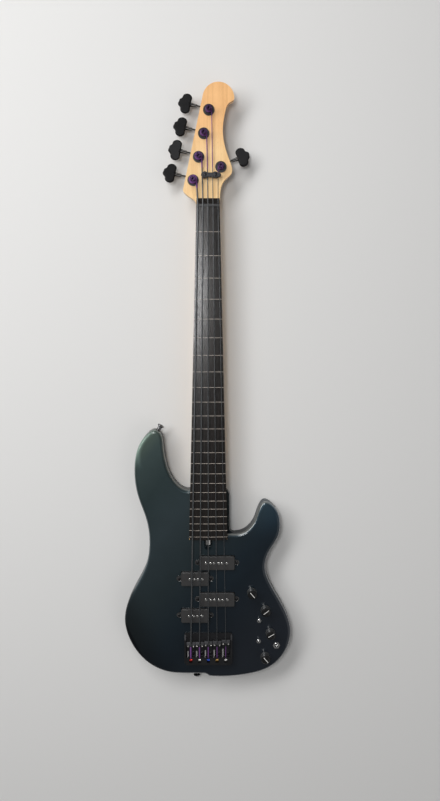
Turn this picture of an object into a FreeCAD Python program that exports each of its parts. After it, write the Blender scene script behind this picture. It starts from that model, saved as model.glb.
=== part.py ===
"""A five-string electric bass guitar with a bolt-on neck, lying on its back.

The origin is on the flat back of the body, on the neck's centre line, under the end of the scale at the
bridge. +X points to the thin strings, +Y along the neck to the headstock, +Z out of the playing side.
All sizes are in millimetres.
"""
import FreeCAD
import Part

import math
import os

from FreeCAD import Vector

# Scale, strings and fret lines
SCALE_LENGTH = 863.6
LINE_COUNT = 24
STRING_NAMES = ("b", "e", "a", "d", "g")
STRING_DIAMETERS = (3.3, 2.55, 2.0, 1.5, 1.15)
SADDLE_SETBACKS = (5.0, 4.3, 2.8, 2.2, 0.5)
BRIDGE_SPACING = 17.5
NUT_SPACING = 9.7
NUT_GAP = 0.8
SADDLE_GAP = 4.1
BALL_RADIUS = 3.2
BALL_LENGTH = 5.2
STRING_BEND_RADIUS = 10.0
LINE_WIDTH = 0.6
LINE_DEPTH = 2.0

# Neck and fingerboard
NECK_WIDTH_AT_NUT = 45.5
NECK_WIDTH_AT_END = 76.0
NECK_DEPTH_AT_NUT = 14.0
NECK_DEPTH_AT_END = 18.0
NECK_SHOULDER = 1.5
HEEL_THICKNESS = 19.0
HEEL_LENGTH = 92.0
HEEL_FADE = 40.0
HEEL_CORNER = 4.0
BOARD_THICKNESS = 6.5
BOARD_RADIUS = 400.0
BOARD_TAIL = 6.4
BOARD_CORNER = 5.0
NUT_THICKNESS = 4.4
NUT_SEAT_DEPTH = 3.0
NUT_RISE = 2.0
TRUSS_WIDTH = 6.0
TRUSS_DEPTH = 9.0
TRUSS_STUB_RADIUS = 2.5
TRUSS_NUT_RADIUS = 6.0
TRUSS_NUT_LENGTH = 9.0
TROUGH_RADIUS = 8.0
TROUGH_LENGTH = 14.5

# Headstock
HEAD_DROP = 10.0
HEAD_THICKNESS = 15.0
SCOOP_RADIUS = 60.0
THROAT_RADIUS = 40.0
THROAT_REACH = 34.0
RETAINER_FROM_NUT = 60.4
RETAINER_LIFT = 5.5
RETAINER_THICKNESS = 4.0
RETAINER_WIDTH = 8.5
RETAINER_SCREW_X = (-6.2, 14.2)
RETAINER_ENDS_X = (-13.4, 25.1)
RETAINER_SCREW = 1.5

# Body
BODY_THICKNESS = 42.0
BODY_EDGE_RADIUS = 6.0
RIM_DRAWN_TO = 209.5
POCKET_DEPTH = 16.0
TONGUE_WIDTH = 42.0
TONGUE_CORNER = 12.0
FOREARM_RADIUS = 150.0
FOREARM_POINT = (-112.0, 20.0)
FOREARM_ANGLE = 205.8
BOLT_SITES = ((-25.0, 15.0), (25.0, 15.0), (-22.0, 78.0), (22.0, 78.0))
BOLT_RADIUS = 2.5
BOLT_GRIP = 12.0
FERRULE_RADIUS = 7.0
FERRULE_DEPTH = 5.0

# Tuners: distance across and along from the nut, direction of the key, side of the post the worm is on
TUNER_SITES = (
    (-29.0, 51.4, 168.2, -1),
    (-18.2, 95.9, 168.2, -1),
    (-8.3, 140.4, 168.2, -1),
    (1.5, 184.9, 168.2, -1),
    (25.0, 76.9, 19.1, 1),
)
KEY_TILTS = (14.0, -9.0, 11.0, 4.0, -12.0)
STRING_TURNS = (2.25, 2.5, 2.75, 3.0, 3.0)
GEAR_TEETH = 20
WORM_LEAD = 1.76
WORM_RADIUS = 2.4
GEAR_FACE = 3.2
TOOTH_HALF = 0.3
TOOTH_REACH = 0.6
TOOTH_ROOT = 0.85
TOOTH_SLOPE = 0.26
GEAR_DROP = 4.9
POST_RADIUS = 6.0
POST_WAIST = 4.75
POST_HEAD = 5.4
POST_HEIGHT = 20.5
POST_HEAD_HEIGHT = 4.0
WIND_LIFT = 4.6
WIND_GAP = 0.5
BUSHING_WALL = 2.6
FLANGE_RADIUS = 11.0
FLANGE_THICKNESS = 1.6
TUNER_PLATE = 1.7
JOURNAL_INNER = 1.5
JOURNAL_OUTER = 2.0
KEY_CENTRE = 47.3
KEY_THICKNESS = 7.0

# Bridge
BRIDGE_WIDTH = 96.0
BRIDGE_FRONT = 19.0
BRIDGE_BACK = 44.0
BRIDGE_PLATE = 4.0
BRIDGE_WALL = 3.4
BRIDGE_WALL_HEIGHT = 7.5
BRIDGE_BLOCK = 16.0
BRIDGE_BLOCK_HEIGHT = 8.5
BALL_SITE = 35.0
SADDLE_WIDTH = 16.2
SADDLE_FRONT = 7.0
SADDLE_BACK = 11.0
SADDLE_LIFT = 1.5
SADDLE_TRAVEL = 6.0
GRUB_RADIUS = 1.5
GRUB_OFFSET = 5.3
INTONATION_RADIUS = 2.0
INTONATION_OFFSET = 6.0
INTONATION_HEIGHT = 3.3
HEX_KEY = 1.5

# Pickups: each one's middle along the strings, and for each half its centre across, its centre along from
# that middle and the strings it covers
NECK_PICKUP_MIDDLE = 145.75
NECK_PICKUP = ((-26.5, -16.25, (0, 1)), (17.6, 16.25, (2, 3, 4)))
BRIDGE_PICKUP_MIDDLE = 71.0
BRIDGE_PICKUP = ((-26.5, -16.5, (0, 1)), (17.6, 16.5, (2, 3, 4)))
PICKUP_LENGTHS = {2: 55.5, 3: 70.0}
PICKUP_WIDTH = 28.0
PICKUP_RISE = 7.0
PICKUP_HEIGHT = 18.0
PICKUP_WALL = 1.6
PICKUP_CORNER = 3.0
EAR_REACH = 4.2
EAR_RADIUS = 5.0
EAR_THICKNESS = 2.0
POLE_RADIUS = 2.4
POLE_OFFSET = 4.6
POLE_PROUD = 0.4
PICKUP_ROUTE = 22.0
ROUTE_GAP = 0.8
CHANNEL_RADIUS = 3.0
CHANNEL_HEIGHT = 23.5
LEAD_RADIUS = 1.1
LEAD_ENDS = ((96.5, 89.0), (104.0, 79.0))

# Controls
POT_SITES = ((87.5, 101.0), (114.8, 65.0), (125.0, 18.0), (114.6, -31.0))
POINTER_ANGLES = (-50.0, 38.0, 31.0, -49.0)
SWITCH_SITES = ((102.3, 43.1), (101.5, 1.0))
JACK_SITE = (137.3, -7.5)
CAVITY_ROOF = 6.0
POT_ROOM = 15.0
SWITCH_ROOM = 14.0
JACK_ROOM = 10.0
COVER_MARGIN = 6.0
COVER_THICKNESS = 2.4
COVER_SCREWS = ((76.3, 115.0), (137.5, 45.2), (110.8, -48.6), (84.9, 22.0))
COVER_SCREW = 1.4
POT_RADIUS = 8.5
POT_HEIGHT = 9.0
THREAD_RADIUS = 3.5
SWITCH_THREAD = 3.0
JACK_THREAD = 4.7
SHAFT_RADIUS = 3.0
KNOB_RADIUS = 9.6
KNOB_HEIGHT = 18.9
SWITCH_TILT = 14.0
SWITCH_PIVOT = 1.6
PIVOT_PIN = 0.7
JACK_BORE = 3.25
JACK_DEPTH = 30.0

# Strap buttons
STRAP_LENGTH = 12.5
STRAP_RADIUS = 6.8

# Wood screws and clearances
SCREW_BITE = 1.9
FIT = 0.05
SLIDE = 0.2

# Levels and lines that follow from the sizes above
BODY_TOP = BODY_THICKNESS
POCKET_FLOOR = BODY_TOP - POCKET_DEPTH
BOARD_BOTTOM = POCKET_FLOOR + HEEL_THICKNESS
BOARD_TOP = BOARD_BOTTOM + BOARD_THICKNESS
BOARD_AXIS = BOARD_TOP - BOARD_RADIUS
HEAD_FACE = BOARD_TOP - HEAD_DROP
HEAD_BACK = HEAD_FACE - HEAD_THICKNESS
NUT_END = SCALE_LENGTH + NUT_THICKNESS
NECK_END = SCALE_LENGTH * 2 ** (-LINE_COUNT / 12) - BOARD_TAIL
TONGUE_END = NECK_END + 98.5
DRAWN_SHARE = NECK_END / RIM_DRAWN_TO
PICKUP_SITES = tuple(
    (x, middle * DRAWN_SHARE + along, over)
    for middle, halves in ((NECK_PICKUP_MIDDLE, NECK_PICKUP), (BRIDGE_PICKUP_MIDDLE, BRIDGE_PICKUP))
    for x, along, over in halves
)
TRUSS_AXIS = BOARD_BOTTOM - TRUSS_DEPTH / 2 - 0.5
GEAR_RADIUS = GEAR_TEETH * WORM_LEAD / (2 * math.pi)
WORM_OFFSET = GEAR_RADIUS + WORM_RADIUS
GEAR_LEVEL = HEAD_BACK - GEAR_DROP
BUSHING_RADIUS = POST_RADIUS + BUSHING_WALL
BRIDGE_TOP = BODY_TOP + BRIDGE_PLATE
CAVITY_CEILING = BODY_TOP - CAVITY_ROOF
PICKUP_TOP = BODY_TOP + PICKUP_RISE
ROUTE_FLOOR = BODY_TOP - PICKUP_ROUTE
SIDE_AXIS = Vector(1, 0, 0)
LONG_AXIS = Vector(0, 1, 0)
UP = Vector(0, 0, 1)
STRING_COUNT = len(STRING_NAMES)


def block(x0, x1, y0, y1, z0, z1):
    """A box between six planes."""
    return Part.makeBox(x1 - x0, y1 - y0, z1 - z0, Vector(x0, y0, z0))


def upright(radius, site, z0, z1):
    """A cylinder standing at a site."""
    return Part.makeCylinder(radius, z1 - z0, Vector(site[0], site[1], z0))


def ring(outer, inner, site, z0, z1):
    """A cylinder standing at a site, with a bore right through it."""
    return upright(outer, site, z0, z1).cut(upright(inner, site, z0 - 1, z1 + 1))


def flat_line(a, b):
    """A straight edge in the plane of the back."""
    return Part.makeLine(Vector(a[0], a[1], 0), Vector(b[0], b[1], 0))


def flat_arc(a, middle, b):
    """An arc in the plane of the back through three points."""
    points = [Vector(p[0], p[1], 0) for p in (a, middle, b)]
    return Part.Arc(*points).toShape()


def flat_spline(points):
    """A smooth edge through points in the plane of the back."""
    curve = Part.BSplineCurve()
    curve.interpolate(Points=[Vector(p[0], p[1], 0) for p in points])
    return curve.toShape()


def prism(edges, z0, z1):
    """The solid between two levels inside a closed row of edges drawn in the plane of the back."""
    face = Part.Face(Part.Wire(Part.sortEdges(edges)[0]))
    face.translate(UP * z0)
    return face.extrude(UP * (z1 - z0))


def capsule(a, b, radius, z0, z1):
    """A round-ended bar between two sites."""
    a = Vector(a[0], a[1], 0)
    b = Vector(b[0], b[1], 0)
    along = (b - a).normalize() * radius
    side = UP.cross(along)
    edges = [
        flat_line(a + side, b + side),
        flat_arc(b + side, b + along, b - side),
        flat_line(b - side, a - side),
        flat_arc(a - side, a - along, a + side),
    ]
    return prism(edges, z0, z1)


def rounded_block(site, length, width, corner, z0, z1):
    """A box centred on a site, with its upright edges rounded."""
    x, y = site
    shape = block(x - length / 2, x + length / 2, y - width / 2, y + width / 2, z0, z1)
    return shape.makeFillet(corner, [edge for edge in shape.Edges if edge.BoundBox.ZLength > 0.5 * (z1 - z0)])


def softened(shape, level, radius):
    """A shape with the edges at its top level rounded."""
    return shape.makeFillet(radius, [edge for edge in shape.Edges if edge.BoundBox.ZMin > level - 0.01])


def turned(profile):
    """A solid turned about the upright axis from (radius, height) points."""
    points = [Vector(r, 0, z) for r, z in profile]
    face = Part.Face(Part.makePolygon(points + points[:1]))
    return face.revolve(Vector(0, 0, 0), UP, 360)


def carried(shape, seat, rotation):
    """A copy of a shape, turned and moved on from where it is."""
    shape = shape.copy()
    shape.Placement = FreeCAD.Placement(seat, rotation).multiply(shape.Placement)
    return shape


def aimed(shape, seat, direction):
    """A shape built along +Z, moved to a seat and turned to a direction."""
    return carried(shape, seat, FreeCAD.Rotation(UP, direction))


def hexagon(across_flats, site, z0, z1):
    """A hexagon bar standing at a site."""
    corner = across_flats / math.sqrt(3)
    turns = [k * math.pi / 3 for k in range(7)]
    points = [Vector(site[0] + corner * math.cos(t), site[1] + corner * math.sin(t), z0) for t in turns]
    return Part.Face(Part.makePolygon(points)).extrude(UP * (z1 - z0))


def hex_nut(across_flats, bore, site, z0, z1):
    """A hexagon nut standing at a site."""
    return hexagon(across_flats, site, z0, z1).cut(upright(bore, site, z0 - 1, z1 + 1))


def pan_screw(head_radius, head_height, shank_radius, length):
    """A cross-head screw along +Z: its head above the level it clamps at, its shank below."""
    head = turned((
        (0, 0),
        (head_radius, 0),
        (head_radius, 0.4 * head_height),
        (0.7 * head_radius, head_height),
        (0, head_height),
    ))
    slot = 0.16 * head_radius
    reach = 0.55 * head_radius
    cross = block(-reach, reach, -slot, slot, 0.45 * head_height, head_height + 1)
    cross = cross.fuse(block(-slot, slot, -reach, reach, 0.45 * head_height, head_height + 1))
    shank = Part.makeCylinder(shank_radius, length, Vector(0, 0, -length))
    return head.cut(cross).fuse(shank)


def arc_from(start, tangent, end):
    """The arc that leaves a point along a direction and ends at another point."""
    chord = end - start
    along = Vector(chord).normalize()
    away = tangent - along * tangent.dot(along)
    if away.Length < 1e-6:
        return Part.makeLine(start, end)
    angle = math.atan2(away.Length, tangent.dot(along))
    middle = (start + end) * 0.5 + away.normalize() * (0.5 * chord.Length * math.tan(angle / 2))
    return Part.Arc(start, middle, end).toShape()


def biarc(start, start_tangent, end, end_tangent):
    """Two arcs that join two points and keep a direction at each."""
    gap = end - start
    both = start_tangent + end_tangent
    spread = 2 * (1 - start_tangent.dot(end_tangent))
    reach = (math.sqrt(gap.dot(both) ** 2 + spread * gap.dot(gap)) - gap.dot(both)) / spread
    near = start + start_tangent * reach
    far = end - end_tangent * reach
    joint = (near + far) * 0.5
    joint_tangent = (far - near).normalize()
    return [arc_from(start, start_tangent, joint), arc_from(joint, joint_tangent, end)]


def bent_path(points, radius):
    """Straight runs through points, joined by tangent arcs."""
    edges = []
    last = points[0]
    for before, corner, after in zip(points, points[1:], points[2:]):
        incoming = (corner - before).normalize()
        outgoing = (after - corner).normalize()
        trim = radius * math.tan(incoming.getAngle(outgoing) / 2)
        first = corner - incoming * trim
        second = corner + outgoing * trim
        edges.append(Part.makeLine(last, first))
        edges.append(arc_from(first, incoming, second))
        last = second
    edges.append(Part.makeLine(last, points[-1]))
    return edges


def tube(edges, radius):
    """A round tube along a path."""
    start = edges[0].valueAt(edges[0].FirstParameter)
    direction = edges[0].tangentAt(edges[0].FirstParameter)
    section = Part.Wire(Part.makeCircle(radius, start, direction))
    return Part.Wire(edges).makePipeShell([section], True, False)


def line_site(number):
    """Distance of a fret line from the end of the scale at the bridge."""
    return SCALE_LENGTH * 2 ** (-number / 12)


def neck_half(y):
    """Half the neck's width at a distance from the bridge."""
    share = (y - NECK_END) / (SCALE_LENGTH - NECK_END)
    return (NECK_WIDTH_AT_END + (NECK_WIDTH_AT_NUT - NECK_WIDTH_AT_END) * share) / 2


def crown(x):
    """Level of the fingerboard's round top at a distance from its centre line."""
    return BOARD_AXIS + math.sqrt(BOARD_RADIUS ** 2 - x ** 2)


def string_x(index, y):
    """Distance of a string from the centre line, between the bridge and the nut."""
    step = index - (STRING_COUNT - 1) / 2
    return step * (BRIDGE_SPACING + (NUT_SPACING - BRIDGE_SPACING) * y / SCALE_LENGTH)


def saddle_point(index):
    """Where a string's centre line bends over its saddle."""
    y = -SADDLE_SETBACKS[index]
    x = string_x(index, y)
    return Vector(x, y, crown(x) + SADDLE_GAP + STRING_DIAMETERS[index] / 2)


def nut_point(index):
    """Where a string's centre line bends over the nut."""
    x = string_x(index, SCALE_LENGTH)
    z = crown(x) + NUT_GAP + STRING_DIAMETERS[index] / 2
    return Vector(x, SCALE_LENGTH + NUT_THICKNESS / 2, z)


def ball_point(index):
    """Centre of a string's ball end in the bridge."""
    return Vector(string_x(index, 0), -BALL_SITE, BRIDGE_TOP + BALL_RADIUS + 0.3)


def tuner_centre(index):
    """Site of a string's tuner post."""
    across, along, angle, side = TUNER_SITES[index]
    return Vector(across, SCALE_LENGTH + along, 0)


def tuner_placed(shape, index):
    """A tuner piece built round the upright axis with its key along +X, moved to its site."""
    return carried(shape, tuner_centre(index), FreeCAD.Rotation(UP, TUNER_SITES[index][2]))


def tangent_site(point, index, radius):
    """Where a string's straight run first touches its winding, seen from above."""
    side = TUNER_SITES[index][3]
    centre = tuner_centre(index)
    reach = Vector(centre.x - point.x, centre.y - point.y, 0)
    angle = math.asin(radius / reach.Length) * side
    heading = FreeCAD.Rotation(UP, math.degrees(angle)).multVec(reach).normalize()
    site = Vector(point.x, point.y, 0) + heading * math.sqrt(reach.Length ** 2 - radius ** 2)
    return Vector(site.x, site.y, HEAD_FACE + WIND_LIFT)


def wind_radius(index):
    """Radius of a string's winding, at the string's centre."""
    return POST_WAIST + STRING_DIAMETERS[index] / 2 + 2 * FIT


def head_run(index):
    """Points of a string's centre line from its ball end to its winding."""
    ball = ball_point(index)
    saddle = saddle_point(index)
    nut = nut_point(index)
    start = ball + (saddle - ball).normalize() * BALL_RADIUS
    points = [start, saddle, nut]
    if index > 0:
        end = tangent_site(nut, index, wind_radius(index))
        share = (RETAINER_FROM_NUT - NUT_THICKNESS / 2) / (end.y - nut.y)
        x = nut.x + (end.x - nut.x) * share
        z = HEAD_FACE + RETAINER_LIFT - STRING_DIAMETERS[index] / 2 - FIT
        points.append(Vector(x, SCALE_LENGTH + RETAINER_FROM_NUT, z))
    points.append(tangent_site(points[-1], index, wind_radius(index)))
    return points


def winding(index, start, start_tangent):
    """Arcs of a string's turns round its post, rising from the straight run."""
    centre = tuner_centre(index)
    radius = wind_radius(index)
    side = -TUNER_SITES[index][3]
    pitch = STRING_DIAMETERS[index] + WIND_GAP
    first = math.atan2(start.y - centre.y, start.x - centre.x)
    steps = int(round(4 * STRING_TURNS[index]))
    edges = []
    point = start
    tangent = start_tangent
    for step in range(1, steps + 1):
        angle = first + side * step * math.pi / 2
        rise = pitch * step / 4
        out = Vector(math.cos(angle), math.sin(angle), 0) * radius
        target = Vector(centre.x + out.x, centre.y + out.y, start.z + rise)
        heading = Vector(-side * math.sin(angle), side * math.cos(angle), pitch / (2 * math.pi * radius))
        heading.normalize()
        edges.extend(biarc(point, tangent, target, heading))
        point = target
        tangent = heading
    return edges


def least_wind_gap(index, edges):
    """Least distance between neighbouring turns of a winding, less the string's thickness."""
    points = [p for edge in edges for p in edge.discretize(12)[:-1]]
    turn = 8 * 11
    gaps = [
        (points[i] - points[j]).Length
        for i in range(len(points))
        for j in range(i + turn // 2, len(points))
    ]
    return min(gaps) - STRING_DIAMETERS[index]


def string_solids(index):
    """One string from its ball end to the last turn on its post, and the ball end."""
    points = head_run(index)
    edges = bent_path(points, STRING_BEND_RADIUS)
    turns = winding(index, points[-1], (points[-1] - points[-2]).normalize())
    print("string", STRING_NAMES[index], "least gap between turns", round(least_wind_gap(index, turns), 2))
    ball_end = ball_point(index) - SIDE_AXIS * (BALL_LENGTH / 2)
    ball = Part.makeCylinder(BALL_RADIUS, BALL_LENGTH, ball_end, SIDE_AXIS)
    return [tube(edges + turns, STRING_DIAMETERS[index] / 2), ball]


def waisted(points):
    """Rim points drawn from the bridge: those ahead of it keep their share of the way to the neck's end."""
    return [(x, y * DRAWN_SHARE if y > 0 else y) for x, y in points]


def rim_edges(with_tongue):
    """The body's rim seen from above: with the tongue under the neck, or cut straight across the pocket."""
    upper_left = (
        (-38.0, 98.5), (-44.0, 98.9), (-64.0, 112.0), (-82.0, 146.5), (-89.5, 190.5), (-97.5, 215.0),
        (-107.0, 219.0), (-122.0, 210.5), (-142.0, 176.5), (-147.0, 140.5), (-140.5, 87.5), (-123.0, 35.5),
        (-118.0, -3.5),
    )
    lower_left = (
        (-124.0, 159.0), (-146.0, 113.0), (-165.0, 69.0), (-168.7, 41.0), (-155.0, -8.0), (-122.0, -46.0),
        (-80.0, -64.0), (-40.0, -67.2), (-9.0, -67.5),
    )
    lower_right = (
        (6.0, -73.3), (27.0, -74.0), (80.0, -69.0), (125.0, -54.0), (159.0, -15.0), (166.5, 20.0),
        (155.0, 62.0), (124.0, 119.0), (114.3, 152.0),
    )
    upper_right = (
        (122.0, -27.5), (141.0, 6.5), (144.0, 33.5), (128.0, 68.0), (112.0, 75.0), (102.0, 63.5),
        (92.0, 36.5), (74.0, 15.5), (58.0, 9.9), (52.0, 9.6),
    )
    left = flat_spline([(x, NECK_END + y) for x, y in upper_left] + waisted(lower_left))
    right = flat_spline(waisted(lower_right) + [(x, NECK_END + y) for x, y in upper_right])
    left_start, left_way, left_end, left_turn = edge_ends(left)
    right_start, right_way, right_end, right_turn = edge_ends(right)
    edges = [left] + biarc(left_end, left_turn, right_start, right_way) + [right]
    if not with_tongue:
        inner_right = right_end + right_turn * (right_end.x - neck_half(right_end.y) + 4)
        inner_left = left_start - left_way * 6
        edges.append(Part.makeLine(right_end, inner_right))
        edges.append(Part.makeLine(inner_right, inner_left))
        edges.append(Part.makeLine(inner_left, left_start))
        return edges
    foot = Vector(TONGUE_WIDTH, right_end.y + right_end.x - TONGUE_WIDTH, 0)
    shoulder = Vector(TONGUE_WIDTH, TONGUE_END - TONGUE_CORNER, 0)
    front = Vector(TONGUE_WIDTH - TONGUE_CORNER, TONGUE_END, 0)
    edges.extend(biarc(right_end, right_turn, foot, LONG_AXIS))
    edges.append(Part.makeLine(foot, shoulder))
    edges.append(arc_from(shoulder, LONG_AXIS, front))
    edges.extend(biarc(front, SIDE_AXIS * -1, left_start, left_way))
    return edges


def edge_ends(edge):
    """Start, direction at the start, end and direction at the end of an edge."""
    first = edge.FirstParameter
    last = edge.LastParameter
    return edge.valueAt(first), edge.tangentAt(first), edge.valueAt(last), edge.tangentAt(last)


def forearm_cut():
    """What is taken off the top where the forearm rests: all that lies outside a tangent cylinder."""
    away = block(0, 150, -300, 300, BODY_TOP - 30, BODY_TOP + 1)
    roll = Part.makeCylinder(FOREARM_RADIUS, 620, Vector(0, -310, BODY_TOP - FOREARM_RADIUS), LONG_AXIS)
    tool = away.cut(roll)
    seat = Vector(FOREARM_POINT[0], FOREARM_POINT[1], 0)
    return carried(tool, seat, FreeCAD.Rotation(UP, FOREARM_ANGLE))


def body_blank():
    """The body's slab with its rounded rims, before any routing."""
    lower = prism(rim_edges(True), 0, POCKET_FLOOR)
    upper = prism(rim_edges(False), POCKET_FLOOR, BODY_TOP)
    slab = lower.fuse(upper).removeSplitter().cut(forearm_cut())
    wall = Part.Compound(rim_edges(False)[:5] + rim_edges(False)[6:])
    rims = []
    for edge in slab.Edges:
        if edge.BoundBox.XLength + edge.BoundBox.YLength < 0.1:
            continue
        middle = edge.valueAt((edge.FirstParameter + edge.LastParameter) / 2)
        off_wall = wall.distToShape(Part.Vertex(middle.x, middle.y, 0))[0]
        if middle.z < 0.01 or (middle.z > POCKET_FLOOR + 1 and off_wall < 0.01):
            rims.append(edge)
    return slab.makeFillet(BODY_EDGE_RADIUS, rims)


def pocket():
    """Room for the neck's heel, open towards the headstock and to the thin strings' side."""
    near = NECK_END - SLIDE
    far = TONGUE_END + 20
    left = neck_half(near) + SLIDE
    right = neck_half(far) + SLIDE
    corners = [(-left, near), (left, near), (right, far), (-right, far)]
    edges = [flat_line(a, b) for a, b in zip(corners, corners[1:] + corners[:1])]
    return prism(edges, POCKET_FLOOR, BODY_TOP + 1)


def trough():
    """Round-ended hollow in the top for reaching the truss-rod nut."""
    level = TRUSS_AXIS + 1
    start = Vector(0, NECK_END - TROUGH_LENGTH, level)
    hollow = Part.makeCylinder(TROUGH_RADIUS, TROUGH_LENGTH + 1, start, LONG_AXIS)
    hollow = hollow.fuse(Part.makeSphere(TROUGH_RADIUS, start))
    wide = TROUGH_RADIUS
    return hollow.fuse(block(-wide, wide, NECK_END - TROUGH_LENGTH, NECK_END + 1, level, BODY_TOP + 1))


def pickup_length(site):
    """Length of a pickup half from the number of strings over it."""
    return PICKUP_LENGTHS[len(site[2])]


def ear_sites(site):
    """The two screw sites of a pickup half."""
    reach = pickup_length(site) / 2 + EAR_REACH
    return [(site[0] - reach, site[1]), (site[0] + reach, site[1])]


def pickup_route(site):
    """Room in the body for a pickup half and its ears."""
    length = pickup_length(site) + 2 * ROUTE_GAP
    width = PICKUP_WIDTH + 2 * ROUTE_GAP
    room = rounded_block(site[:2], length, width, PICKUP_CORNER, ROUTE_FLOOR, BODY_TOP + 1)
    left, right = ear_sites(site)
    return room.fuse(capsule(left, right, EAR_RADIUS + ROUTE_GAP, BODY_TOP - EAR_THICKNESS, BODY_TOP + 1))


def lead_run(number):
    """Route of a pickup lead from its former to the control cavity, seen from above."""
    outer = PICKUP_SITES[2 * (number // 2)]
    inner = PICKUP_SITES[2 * (number // 2) + 1]
    end = LEAD_ENDS[number // 2]
    inside = (inner[0] + pickup_length(inner) / 2 - 8, inner[1] - 6)
    if number % 2:
        return [(inner[0] + 6, inner[1] - 6), inside, end]
    return [(outer[0] + 8, outer[1] + 4), (inner[0] - 16, inner[1] - 6), inside, end]


def wire_channels():
    """Bores that join the pickup routes and the control cavity."""
    bores = []
    for number in (0, 2):
        sites = lead_run(number)
        for a, b in ((sites[0], sites[1]), (sites[2], sites[3])):
            start = Vector(a[0], a[1], CHANNEL_HEIGHT)
            end = Vector(b[0], b[1], CHANNEL_HEIGHT)
            bores.append(Part.makeCylinder(CHANNEL_RADIUS, (end - start).Length, start, end - start))
    return bores


def control_room(extra, z0, z1):
    """The kidney-shaped room for the controls, widened by an extra margin."""
    parts = [capsule(a, b, POT_ROOM + extra, z0, z1) for a, b in zip(POT_SITES, POT_SITES[1:])]
    parts.append(capsule(SWITCH_SITES[0], SWITCH_SITES[1], SWITCH_ROOM + extra, z0, z1))
    parts.append(capsule(POT_SITES[2], JACK_SITE, JACK_ROOM + extra, z0, z1))
    return parts[0].multiFuse(parts[1:]).removeSplitter()


def strap_seats():
    """Seat and direction of each strap button."""
    middle = BODY_THICKNESS / 2
    horn = Vector(-100.3, NECK_END + 216.4, middle)
    tail = Vector(-23.4, -66.4, middle)
    return [(horn, Vector(0.5, math.sqrt(0.75), 0)), (tail, LONG_AXIS * -1)]


def body():
    """The wooden body with every room, bore and seat cut in it."""
    tools = [pocket(), trough()]
    tools.extend(pickup_route(site) for site in PICKUP_SITES)
    for site in PICKUP_SITES:
        tools.extend(upright(SCREW_BITE + FIT, ear, BODY_TOP - 18, BODY_TOP) for ear in ear_sites(site))
    tools.extend(wire_channels())
    tools.append(control_room(0, COVER_THICKNESS, CAVITY_CEILING))
    tools.append(control_room(COVER_MARGIN, -1, COVER_THICKNESS + FIT))
    holes = [(site, THREAD_RADIUS) for site in POT_SITES]
    holes.extend((site, SWITCH_THREAD) for site in SWITCH_SITES)
    holes.append((JACK_SITE, JACK_THREAD))
    tools.extend(upright(size + SLIDE, site, CAVITY_CEILING - 1, BODY_TOP + 1) for site, size in holes)
    tools.extend(upright(COVER_SCREW + FIT, site, 0, COVER_THICKNESS + 12) for site in COVER_SCREWS)
    for x, y in BOLT_SITES:
        site = (x, NECK_END + y)
        tools.append(upright(FERRULE_RADIUS + FIT, site, -1, FERRULE_DEPTH))
        tools.append(upright(BOLT_RADIUS + SLIDE, site, 0, POCKET_FLOOR + 1))
    for seat, direction in strap_seats():
        tools.append(Part.makeCylinder(STRAP_RADIUS, 30, seat, direction))
        tools.append(Part.makeCylinder(SCREW_BITE + FIT, 30, seat, direction * -1))
    for site in bridge_screw_sites():
        tools.append(upright(SCREW_BITE + FIT, site, BODY_TOP - 22, BODY_TOP + 1))
    return body_blank().cut(tools)


def neck_section(y, depth, corner):
    """The neck's section as a wire of six edges: flat top, sides, and a round or cornered back."""
    half = neck_half(y)
    top = BOARD_BOTTOM
    low = top - depth
    if corner:
        wide = half - corner
        turn = corner * (1 - math.sqrt(0.5))
        right = [(half, low + corner), (half - turn, low + turn), (wide, low)]
        bottom = [(wide, low), (0, low), (-wide, low)]
    else:
        shoulder = top - NECK_SHOULDER
        sag = shoulder - low
        radius = (half ** 2 + sag ** 2) / (2 * sag)
        spread = math.asin(half / radius) if sag < radius else math.pi - math.asin(half / radius)

        def on_arc(share):
            angle = spread * share
            return (radius * math.sin(angle), low + radius - radius * math.cos(angle))

        right = [on_arc(1.0), on_arc(0.75), on_arc(0.5)]
        bottom = [on_arc(0.5), on_arc(0), on_arc(-0.5)]
    left = [(-x, z) for x, z in reversed(right)]
    points = {name: [Vector(x, y, z) for x, z in row] for name, row in
              (("right", right), ("bottom", bottom), ("left", left))}
    start = Vector(-half, y, top)
    end = Vector(half, y, top)
    flat = Part.makeLine(points["bottom"][0], points["bottom"][2])
    edges = [
        Part.makeLine(start, end),
        Part.makeLine(end, points["right"][0]),
        Part.Arc(*points["right"]).toShape(),
        flat if corner else Part.Arc(*points["bottom"]).toShape(),
        Part.Arc(*points["left"]).toShape(),
        Part.makeLine(points["left"][2], start),
    ]
    return Part.Wire(edges)


def head_edges():
    """The headstock's outline seen from above."""
    half = neck_half(NUT_END)
    chin = [(-half, NUT_THICKNESS), (-27.0, 13.4), (-37.0, 20.4), (-44.8, 26.6), (-48.3, 31.4), (-48.1, 35.6)]
    crest = [(-9.6, 215.0), (20.4, 238.1), (50.8, 207.4)]
    right = [
        (50.8, 207.4), (48.5, 202.9), (41.0, 198.4), (33.0, 181.4), (28.7, 151.4), (31.5, 121.4),
        (41.0, 91.4), (46.3, 75.4), (46.3, 66.9), (41.5, 60.4), (33.0, 52.9), (26.0, 40.4),
        (23.4, 24.4), (half, NUT_THICKNESS),
    ]
    chin, crest, right = [[(x, SCALE_LENGTH + y) for x, y in row] for row in (chin, crest, right)]
    return [
        flat_spline(chin),
        flat_line(chin[-1], crest[0]),
        flat_arc(*crest),
        flat_spline(right),
        flat_line(right[-1], chin[0]),
    ]


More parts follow.
